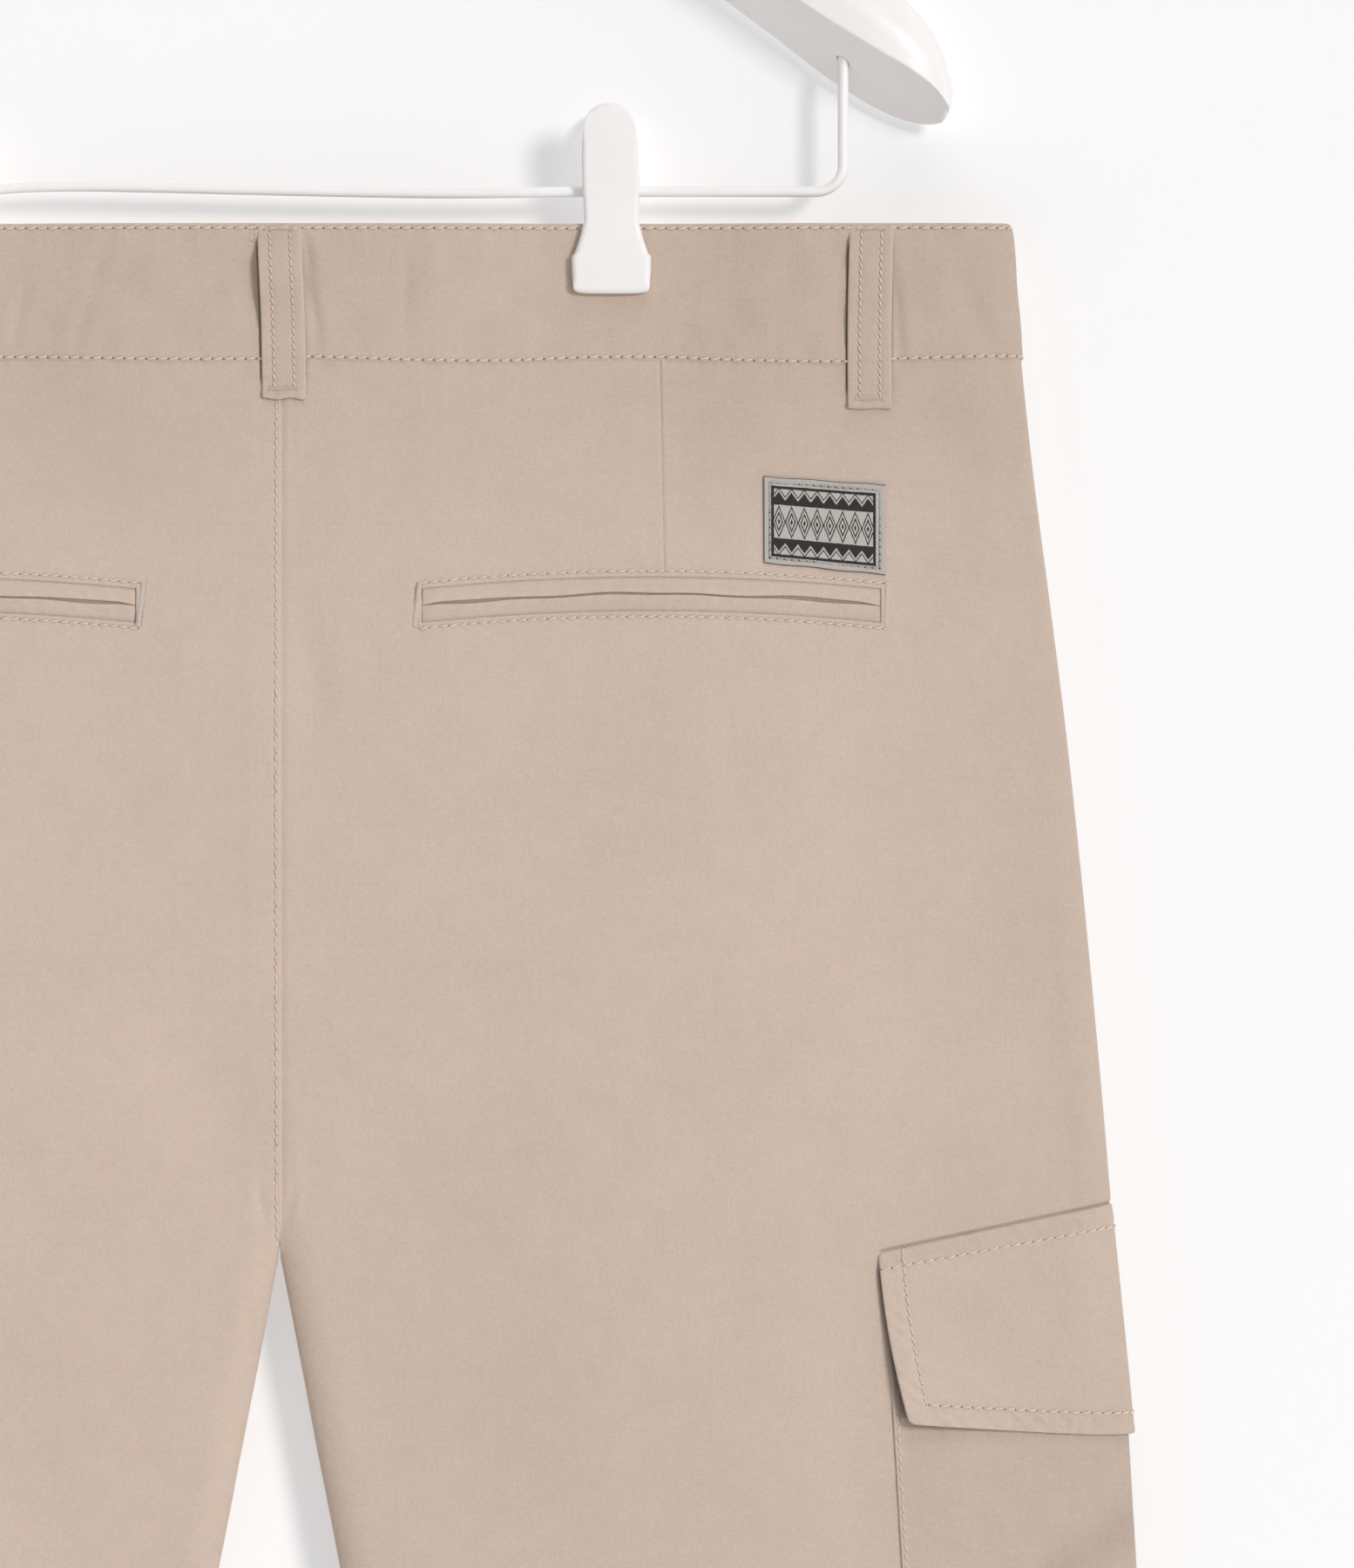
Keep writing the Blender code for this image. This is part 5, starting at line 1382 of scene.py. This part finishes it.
def keepModified(piece):
    # The result of a piece's modifiers becomes its own mesh.
    result = bpy.data.meshes.new_from_object(piece.evaluated_get(bpy.context.evaluated_depsgraph_get()))
    piece.modifiers.clear()
    piece.data = result


def cutAway(piece, tools, operation="DIFFERENCE"):
    # Joins or cuts with helper solids, and removes the helpers.
    for tool in tools:
        modifier = piece.modifiers.new("cut", "BOOLEAN")
        modifier.operation, modifier.solver, modifier.object = operation, "EXACT", tool
    keepModified(piece)
    piece.data.set_sharp_from_angle(angle=math.radians(38))
    for tool in tools:
        bpy.data.objects.remove(tool)


def plainSolid(name, rings):
    # A helper: a closed solid through rings, that rides on nothing.
    rows, corners = rings.shape[:2]
    faces = [list(f) for f in gridFaces(rows, corners, wrap=True)]
    faces += [list(range(corners))[::-1], list(range((rows - 1) * corners, rows * corners))]
    mesh = bpy.data.meshes.new(name)
    mesh.from_pydata(rings.reshape(-1, 3).tolist(), [], faces)
    piece = addObject(name, mesh)
    outward(piece)
    return piece


def rod(start, end, radius, sides=24):
    # Rings for a straight round bar.
    start, end = np.array(start, float), np.array(end, float)
    heading = unit(end - start)
    side = unit(np.cross(heading, (0.31, 0.57, 0.76)))
    ring = circle(sides, side, np.cross(heading, side)) * radius
    return np.stack([start + ring, end + ring])


def roundOff(corners, reach, steps=5):
    # Each corner of a closed outline becomes a quadratic curve that starts and ends reach away from it, with
    # one more point just outside each end. Outlines may be stacked: the corners are the last axis but one.
    parts = []
    for other in (np.roll(corners, 1, -2), np.roll(corners, -1, -2)):
        edge = other - corners
        length = np.linalg.norm(edge, axis=-1, keepdims=True)
        parts.append(edge / length * np.minimum(np.asarray(reach, float)[..., None], 0.42 * length))
    before, after = (part[..., None, :] for part in parts)
    t = np.linspace(0, 1, steps)[:, None]
    middle = corners[..., None, :]
    curve = middle + before * (1 - t) ** 2 + after * t**2
    rounded = np.concatenate([middle + before * 1.15, curve, middle + after * 1.15], axis=-2)
    return rounded.reshape(*corners.shape[:-2], -1, corners.shape[-1])


def makeButton():
    table = np.array(button["profile"])
    spot, normal = onTube(1, button["x"], button["drop"])
    base = spot + normal * (tube["bandWall"] / 2 + 0.35 * mm)
    along = np.linspace(0, len(table) - 1, 4 * (len(table) - 1) + 1)[1:-1]
    radius = curveThrough(np.arange(len(table)), table[:, 0], along) * button["radius"]
    height = curveThrough(np.arange(len(table)), table[:, 1], along) * button["thickness"]
    rings = circle(56, np.array([1.0, 0, 0]), np.array([0, 0, 1.0])) * radius[:, None, None]
    rings = rings + height[:, None, None] * np.array([0, 1.0, 0])
    piece = loft("horn_button", rings + base, "horn")
    half = button["spacing"] / 2
    holes = [base + (i * half, 0, j * half) for i in (-1, 1) for j in (-1, 1)]
    cutAway(piece, [plainSolid("hole", rod(spot + (0, -2 * mm, 0), spot + (0, 6 * mm, 0), button["hole"]))
                    for spot in holes])
    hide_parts("waist_button")
    for j in (-1, 1):  # three threads over each pair of holes
        for lean in (-0.3, 0, 0.3):
            x = np.linspace(-half, half, 9)
            arch = 0.62 * button["thickness"] + 0.15 * mm + 0 * x
            row = np.stack([base[0] + x, base[1] + arch, base[2] + j * half + lean * mm + 0 * x], -1)
            sew("button", row, np.tile((0.0, 1.0, 0.0), (9, 1)), pitch=button["spacing"] * 1.4, radius=0.24 * mm,
                slant=0.1 * mm, length=1.25)
    sweep("button_shank", np.linspace(base - normal * 0.9 * mm, base + normal * 2.3 * mm, 7), (1, 0, 0),
          np.array([1.9, 1.7, 1.5, 1.5, 1.6, 1.6, 1.0]) * mm, 14, "tackThread")


def makeButtonhole():
    # A slit worked round with close stitches, under the button and on past it.
    fromX, toX, level = -10 * mm, -33 * mm, button["drop"]
    out = tube["bandWall"] / 2 + 0.02 * mm
    for edge in (-1, 1):
        points, normals = onTube(1, np.linspace(fromX, toX, 60), np.full(60, level + edge * 1.05 * mm))
        bartack("tacks", points + normals * out, normals, 1.5 * mm, 0.42 * mm)
    drop = level + np.linspace(-2.0, 2.0, 20) * mm
    points, normals = onTube(1, np.full(20, toX - 0.6 * mm), drop)
    bartack("tacks", points + normals * out, normals, 1.4 * mm, 0.40 * mm)


zipper = dict(halfWidth=12 * mm, top=43 * mm, bottom=185 * mm, thickness=0.7 * mm, pitch=1.9 * mm)


def zipPlate(name, outline, rounding, levels, place):
    # A small metal plate with rounded corners, all in mm. Each level is a depth and the outline's share there.
    rounded = roundOff(np.array(outline) * mm, np.full(len(outline), rounding * mm), 4)
    rings = [np.stack([rounded[:, 0] * s, np.full(len(rounded), y * mm), -rounded[:, 1] * s], -1)
             for y, s in levels]
    loft(name, np.array(rings) + place, "brass")


def behindFly(drop, depth):
    # The place behind the front panels' inner face, and the outward direction there.
    spot, out = onTube(1, 0.0, drop)
    return spot - out * (tube["wall"] / 2 + zipper["thickness"] + depth), out


def makeZip():
    # Two tapes behind the fly, with meshed teeth, a slider at the top and a stop at either end.
    x = np.linspace(-1, 1, 35) * zipper["halfWidth"]
    x, drop = np.meshgrid(x, np.linspace(zipper["top"], zipper["bottom"], 80))
    points, normals = onTube(1, x, drop)
    half = zipper["thickness"] / 2
    base = -tube["wall"] / 2 - 0.15 * mm - half
    tape = slab("zip_tape", points, normals, base, half, x + 20 * mm, drop, 0.0, "tape")
    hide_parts("fly_zip")
    drops = np.arange(zipper["top"] + 9 * mm, zipper["bottom"] - 7 * mm, zipper["pitch"])
    sides = np.where(np.arange(len(drops)) % 2 == 0, 1.0, -1.0)
    spots, outs = onTube(1, sides * 0.9 * mm, drops)
    spots = spots - outs * (tube["wall"] / 2 + zipper["thickness"] + 0.75 * mm)
    around = ((-1, -1), (1, -1), (1, 1), (-1, 1))
    teeth = spots[:, None] + np.array([(i * 1.9, j * 0.75, k * 0.55) for j in (-1, 1) for i, k in around]) * mm
    cube = np.array([(0, 1, 2, 3), (7, 6, 5, 4), (0, 4, 5, 1), (1, 5, 6, 2), (2, 6, 7, 3), (3, 7, 4, 0)])
    faces = (cube[None] + (np.arange(len(teeth)) * 8)[:, None, None]).reshape(-1, 4)
    metal = newPiece("zip_teeth", teeth, [faces], "brass", smooth=False)
    outward(metal)
    modifier = metal.modifiers.new("edges", "BEVEL")
    modifier.width, modifier.segments = 0.22 * mm, 1
    keepModified(metal)
    spot, out = behindFly(zipper["top"] + 5 * mm, 1.0 * mm)
    outline = [(-3.6, -4.6), (3.6, -4.6), (4.3, -1.0), (2.6, 4.6), (-2.6, 4.6), (-4.3, -1.0)]
    zipPlate("zip_slider", outline, 1.2, ((-1.25, 0.9), (-1.0, 1.0), (0.9, 1.0), (1.15, 0.9)), spot)
    outline = [(-2.0, 0), (2.0, 0), (2.5, 17), (1.2, 20), (-1.2, 20), (-2.5, 17)]
    levels = ((-0.5, 0.94), (-0.35, 1.0), (0.35, 1.0), (0.5, 0.94))
    zipPlate("zip_pull", outline, 0.9, levels, spot - out * 1.9 * mm)
    levels = ((-0.8, 0.85), (-0.6, 1.0), (0.6, 1.0), (0.8, 0.85))
    for end, level, half in (("foot", zipper["bottom"] - 6 * mm, 2.6), ("top", zipper["top"] + 0.2 * mm, 1.3)):
        outline = [(-half, 1.3), (half, 1.3), (half, -1.3), (-half, -1.3)]
        zipPlate(f"zip_stop_{end}", outline, 0.5, levels, behindFly(level, 0.6 * mm)[0])


makeButton()
makeButtonhole()
makeZip()
print("button and zip made")


# ---- hanger arms: one shaped body with a crisp lower front edge

arms = dict(
    # distance from the middle; lower front edge's height over the waistband; fall from there to the lower
    # back edge; height of the face; depth. All in mm.
    stations=[(0, 132, 3, 22, 14), (22, 128, 3, 20, 14), (55, 116.5, 4, 19, 16), (90, 101, 7, 20, 19),
              (120, 86.5, 10.5, 22, 22), (145, 72.5, 14.5, 24, 25), (165, 59.3, 16.5, 24, 27),
              (180, 50.2, 16.5, 22.5, 27), (190, 44.2, 14, 19.5, 24), (196, 39.4, 9.4, 16, 19),
              (198.4, 36.5, 5.5, 13.2, 14.5), (199.5, 34.8, 1.8, 10.4, 10)],
    # the cut's corners: front to back as a share of half the depth, shares of the face and of the fall, and
    # how far each is rounded
    outline=[(-1, 0, 0, 0.035), (-1, 0.45, 0, 0.4), (-0.72, 0.80, 0, 0.4), (-0.20, 0.99, 0, 0.4),
             (0.35, 0.97, 0, 0.4), (0.85, 0.70, 0, 0.4), (1, 0.25, 0, 0.4), (1, 0, 0.70, 0.2),
             (0.85, 0, 1, 0.10)],
    step=2.6 * mm,
    tip=1.4 * mm,
)
bar = dict(
    radius=1.6 * mm, height=9.6 * mm, halfWidth=168.1 * mm, bend=8 * mm, end=57 * mm,
    # X and how far the wire has sprung up or down there, in mm: none where the clips hold it
    sprung=[(-150, 0), (-108, 0), (-91, 0.1), (-78, 1.2), (-62, 1.6), (-39, 1.3), (-13, 0.7), (20, 0), (46, -0.4),
            (72, -0.25), (91, 0), (108, 0), (150, 0)],
)
hook = dict(
    radius=1.8 * mm, inner=19 * mm, joinTurn=-40, tipTurn=200,  # where the round starts and ends, in degrees
    stemTop=-54 * mm, hubTop=-80 * mm, foot=9 * mm, reach=9 * mm,
)


def makeArms():
    table = np.array(arms["stations"], float) * mm
    outline = np.array(arms["outline"])
    shape = roundOff(outline[:, :3], outline[:, 3], 5)
    reach = table[-1, 0]
    half = np.linspace(0, reach, round(reach / arms["step"]))
    half = np.unique(np.concatenate([half, reach - np.array([4.3, 3.4, 1.8, 1.1, 0.5, 0.2]) * mm]))
    tip = np.array([0.25, 0.5, 0.75, 0.93])
    far = np.concatenate([half[1:], reach + arms["tip"] * np.sin(tip * math.pi / 2)])
    x = np.concatenate([-far[::-1], half[:1], far])
    shrink = np.cos(np.clip((abs(x) - reach) / arms["tip"], 0, 1) * math.pi / 2 * 0.98) ** 0.8
    crease, fall, face, depth = (curveThrough(table[:, 0], table[:, k], abs(x))[:, None] for k in (1, 2, 3, 4))
    middle = crease + (face - fall) / 2
    up = crease + shape[:, 1] * face - shape[:, 2] * fall
    up = middle + (up - middle) * shrink[:, None]
    away = shape[:, 0] * depth / 2 * shrink[:, None]
    piece = loft("lacquered_arms", np.stack([x[:, None] + 0 * up, away, waistZ + up], -1), "arms")
    room = 0.3 * mm  # round the wires in their sockets
    low = waistZ + bar["end"] + room - 40 * mm
    foot = hook["hubTop"] - hook["foot"] - room
    sockets = [(s * bar["halfWidth"], low, bar["radius"]) for s in (-1, 1)] + [(0, foot, hook["radius"])]
    cutAway(piece, [plainSolid("socket", rod((x, 0, z), (x, 0, z + 40 * mm), radius + room))
                    for x, z, radius in sockets])
    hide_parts("hanger_arms")


def makeHook():
    # The stem rises, swings out in a cubic bend and runs into a round about the rail, with a domed tip.
    radius = hook["inner"] + hook["radius"]
    turn = np.radians(np.linspace(hook["joinTurn"], hook["tipTurn"], 90))
    ring = np.stack([np.cos(turn), np.sin(turn)], -1) * radius + (0, -hook["inner"])
    heading, last = (np.array([-math.sin(a), math.cos(a)]) for a in (turn[0], turn[-1]))
    start, end = np.array((0, hook["stemTop"])), ring[0]
    up, back = start + (0, hook["reach"]), end - hook["reach"] * heading
    t = np.linspace(0, 1, 24)[:-1, None]
    bend = (1 - t) ** 3 * start + 3 * t * (1 - t) ** 2 * up + 3 * t**2 * (1 - t) * back + t**3 * end
    stem = np.stack([np.zeros(14), np.linspace(hook["hubTop"] - hook["foot"], hook["stemTop"], 15)[:-1]], -1)
    dome = np.array([0.35, 0.65, 0.85, 0.97])
    path = np.concatenate([stem, bend, ring, ring[-1] + dome[:, None] * hook["radius"] * last])
    radii = np.full(len(path), hook["radius"])
    radii[-4:] *= np.sqrt(1 - dome**2)
    path = np.stack([path[:, 0], 0 * path[:, 0], path[:, 1]], -1)
    piece = sweep("coated_hook", path, (0, 1, 0), radii, 20, "wire")
    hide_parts("hanger_hook")


def makeBar():
    # Down out of one arm, a bend, across with its middle raised, and up into the other arm.
    turn = np.radians(np.linspace(90, 0, 14))
    corner = np.array([bar["halfWidth"] - bar["bend"], bar["height"] + bar["bend"]])
    bend = corner + bar["bend"] * np.stack([np.cos(turn), -np.sin(turn)], -1)
    x = np.linspace(0, clip["x"], 30)
    middle = np.stack([x, np.full(30, bar["height"])], -1)
    level = np.stack([np.linspace(clip["x"], bend[0, 0], 16)[1:-1], np.full(14, bar["height"])], -1)
    up = np.stack([np.full(9, bar["halfWidth"]), np.linspace(bend[-1, 1], bar["end"], 10)[1:]], -1)
    half = np.concatenate([middle, level, bend, up])
    path = np.concatenate([half[:0:-1] * (-1, 1), half])
    table = np.array(bar["sprung"]) * mm
    sprung = curveThrough(table[:, 0], table[:, 1], path[:, 0]) * (abs(path[:, 0]) < 0.15)
    path = np.stack([path[:, 0], 0 * path[:, 0], waistZ + path[:, 1] + sprung], -1)
    piece = sweep("coated_bar", path, (0, 1, 0), np.full(len(path), bar["radius"]), 16, "wire")
    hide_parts("clip_bar")


makeArms()
makeHook()
makeBar()
print("hanger made")


# ---- clips: two moulded jaws with ears on the bar, and a coil spring between them

jaw = dict(
    # height over the waistband, half width, then the inner and outer faces' distances from the middle, in mm
    rows=[(35.4, 5.2, 9.5, 11.3), (33.0, 6.0, 9.0, 11.4), (31.2, 6.9, 8.5, 11.2), (29.1, 7.6, 8.0, 10.8),
          (24, 8.3, 7.0, 9.8), (18.4, 8.5, 5.9, 8.6), (11.2, 8.5, 4.3, 7.0), (4, 8.15, 3.1, 5.95),
          (0.5, 8.2, 2.7, 5.75), (-1.6, 8.7, 2.45, 5.75), (-5.5, 9.8, 2.45, 5.75), (-8.3, 10.75, 2.45, 5.75),
          (-9.0, 11.0, 2.45, 5.78), (-9.7, 11.75, 2.45, 5.92), (-10.6, 11.9, 2.45, 5.95), (-14.3, 11.8, 2.45, 5.95),
          (-18.0, 11.45, 2.45, 5.9), (-21.05, 11.1, 2.45, 5.75)],
    topArch=5.6 * mm, footArch=2.4 * mm, crown=0.22 * mm, lean=0.45 * mm,
    earRadius=3.5 * mm, earWall=1.6 * mm, earRoot=4.9 * mm, earOffset={-1: 6.5 * mm, 1: 4.3 * mm},
    springWire=0.5 * mm, springRadius=2.45 * mm, springHalf=3.0 * mm, springTurns=5.5, springLeg=9 * mm,
)


def makeJaw(side, face):
    # A height field over the jaw's outline, which is drawn down at the top's corners and up at the foot's.
    table = np.array(jaw["rows"])[::-1] * mm
    low, high = table[0, 0], table[-1, 0]
    level = np.concatenate([np.linspace(low, -12 * mm, 26)[:-1], np.linspace(-12, -7, 22)[:-1] * mm,
                            np.linspace(-7 * mm, high, 62)])
    level = np.concatenate([level[:1], level[0] + np.array([0.05, 0.2]) * mm, level[1:-1],
                            level[-1] - np.array([0.2, 0.05]) * mm, level[-1:]])
    turn = np.linspace(-1, 1, 41) * math.pi / 2
    s, h = np.meshgrid(np.sin(turn), level)
    topDraw = jaw["topArch"] * ease((h - 20 * mm) / (high - 20 * mm))
    footDraw = jaw["footArch"] * ease((-15 * mm - h) / (-15 * mm - low))
    fall = topDraw * (1 - np.sqrt(1 - s**2 * 0.9995))
    rise = footDraw * (1 - (1 - abs(s) ** 4.5 * 0.9995) ** (1 / 4.5))
    wide = np.interp(h - topDraw + footDraw, table[:, 0], table[:, 1])
    height = h - fall + rise
    inner, outer = (np.interp(height, table[:, 0], table[:, k]) for k in (2, 3))
    x = side * clip["x"] + wide * s - jaw["lean"] * ease(height / (30 * mm))
    points = np.stack([x, face * (inner + outer) / 2, waistZ + height], -1)
    normals = np.zeros_like(points) + (0, face, 0)
    name = f"clip_jaw_{faceName(face)}_{sideName(side)}"
    half = (outer - inner) / 2
    piece = slab(name.replace("clip", "moulded"), points, normals, 0.0, half, x, height, jaw["crown"] * (1 - s**2),
                 "jaws")
    barZ = waistZ + bar["height"]
    turn = np.radians(np.linspace(-90, 90, 19))
    arc = np.stack([-face * jaw["earRadius"] * np.cos(turn), jaw["earRadius"] * np.sin(turn)], -1)
    root = [(face * jaw["earRoot"], jaw["earRadius"]), (face * jaw["earRoot"], -jaw["earRadius"])]
    outline = np.concatenate([arc, root])
    ears = []
    for end in (-1, 1):
        middle = side * clip["x"] + end * jaw["earOffset"][face]
        rings = [np.stack([np.full(len(outline), middle + place * jaw["earWall"] / 2), outline[:, 0] * s,
                           barZ + outline[:, 1] * s], -1)
                 for place, s in ((-1, 0.93), (-0.82, 1.0), (0.82, 1.0), (1, 0.93))]
        ears.append(plainSolid("ear", np.array(rings)))
    cutAway(piece, ears, "UNION")
    ends = [side * clip["x"] + s * 15 * mm for s in (-1, 1)]
    cutAway(piece, [plainSolid("bore", rod((ends[0], 0, barZ), (ends[1], 0, barZ), bar["radius"] + 0.2 * mm))])
    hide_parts(name)


def makeSpring(side):
    # A coil about the bar, with a straight leg up each lever's inner face.
    z, span = waistZ + bar["height"], jaw["springHalf"] - jaw["springWire"]
    turn = math.pi + np.linspace(0, jaw["springTurns"] * 2 * math.pi, 150)
    x = np.linspace(-span, span, 150)
    coil = np.stack([x, np.cos(turn) * jaw["springRadius"], np.sin(turn) * jaw["springRadius"]], -1)
    radial = np.stack([0 * x, np.cos(turn), np.sin(turn)], -1)
    t = np.linspace(0, 1, 14)[:-1, None]
    legs = []
    for foot in (coil[0], coil[-1]):
        tip = np.array([foot[0], math.copysign(5.0 * mm, foot[1]), jaw["springLeg"]])
        legs.append(tip + (foot - tip) * t)
    path = np.concatenate([legs[0], coil, legs[1][::-1]]) + (side * clip["x"], 0, z)
    sides = np.concatenate([np.tile(radial[0], (13, 1)), radial, np.tile(radial[-1], (13, 1))])
    where = f"clip_spring_{sideName(side)}"
    piece = sweep(where.replace("clip", "steel"), path, sides, np.full(len(path), jaw["springWire"]), 10,
                  "steel")
    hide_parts(where)


for side in (-1, 1):
    for face in (-1, 1):
        makeJaw(side, face)
    makeSpring(side)
print("clips made")


for group, finish in (
    ("waistband", "thread"), ("loops", "thread"), ("seat", "thread"), ("hems", "thread"), ("fly", "thread"),
    ("cargo", "thread"), ("tacks", "tackThread"), ("seatTacks", "tackThread"), ("label", "greyThread"),
    ("button", "tackThread"),
):
    makeStitches(group, finish)
    if group != "button":
        # painted shadow at the needle holes
        makeNeedleHoleShadows(group, "greyHoleShadows" if group == "label" else "inside")
print("stitches made")


# ---- stage and light

stage = dict(
    wallY=0.0162, floorZ=-1.10, size=8.0, wall=rgba(0.655, 0.615, 0.588), glow=rgba(0.288, 0.325, 0.352),
    floor=rgba(0.84, 0.84, 0.84),
)


def stageSheet(name, corners, colour, backless):
    mesh = bpy.data.meshes.new(name)
    mesh.from_pydata(corners, [], [(0, 1, 2, 3)])
    obj = addObject(name, mesh)
    f = Finish(name)
    f.finished(Base_Color=colour, Roughness=1.0, Specular_IOR_Level=0.0)
    if backless:  # seen from behind, the backdrop lets the far side of the shorts show
        f.finished(Emission_Color=stage["glow"], Emission_Strength=1.0)
        back = f.node("NewGeometry", out=6)
        clear = f.node("BsdfTransparent")
        mixed = f.node("MixShader", None, {0: back, 1: Wire(f, f.surface.outputs[0]), 2: clear})
        f.tree.links.new(mixed.socket, f.tree.nodes["Material Output"].inputs["Surface"])
        obj.visible_shadow = False
    mesh.materials.append(f.material)


def makeStage():
    s, y, z = stage["size"], stage["wallY"], stage["floorZ"]
    stageSheet("backdrop", [(-s, y, z), (s, y, z), (s, y, s), (-s, y, s)], stage["wall"], True)
    stageSheet("floor", [(-s, -s, z), (s, -s, z), (s, s, z), (-s, s, z)], stage["floor"], False)


light = dict(
    key=dict(power=1.74, towards=(-0.52, 0.80, -0.24), softness=15),
    top=dict(power=0.75, towards=(-0.08, 0.50, -0.86), softness=40),
    back=dict(power=1.3, towards=(0.30, -0.85, -0.42), softness=40),
    sky=0.175,  # the world's strength as a light
    horizon=0.94,  # and where the camera sees it
)


def makeLight(name, power, towards, softness):
    data = bpy.data.lights.new(name, "SUN")
    data.energy, data.angle = power, math.radians(softness)
    addObject(name, data).rotation_euler = Vector(towards).to_track_quat("-Z", "Y").to_euler()


def makeWorld():
    world = bpy.context.scene.world = bpy.data.worlds.new("studio")
    world.use_nodes = True
    nodes, links = world.node_tree.nodes, world.node_tree.links
    background = nodes["Background"]
    background.inputs["Color"].default_value = (1.0, 1.0, 1.0, 1.0)
    seen = nodes.new("ShaderNodeLightPath")
    level = nodes.new("ShaderNodeMapRange")
    level.inputs["To Min"].default_value = light["sky"]
    level.inputs["To Max"].default_value = light["horizon"]
    links.new(seen.outputs["Is Camera Ray"], level.inputs["Value"])
    links.new(level.outputs[0], background.inputs["Strength"])


makeStage()
makeWorld()
for name in ("key", "top", "back"):
    makeLight(name, **light[name])
bpy.context.scene.view_settings.view_transform = "Standard"
print("stage and light set")
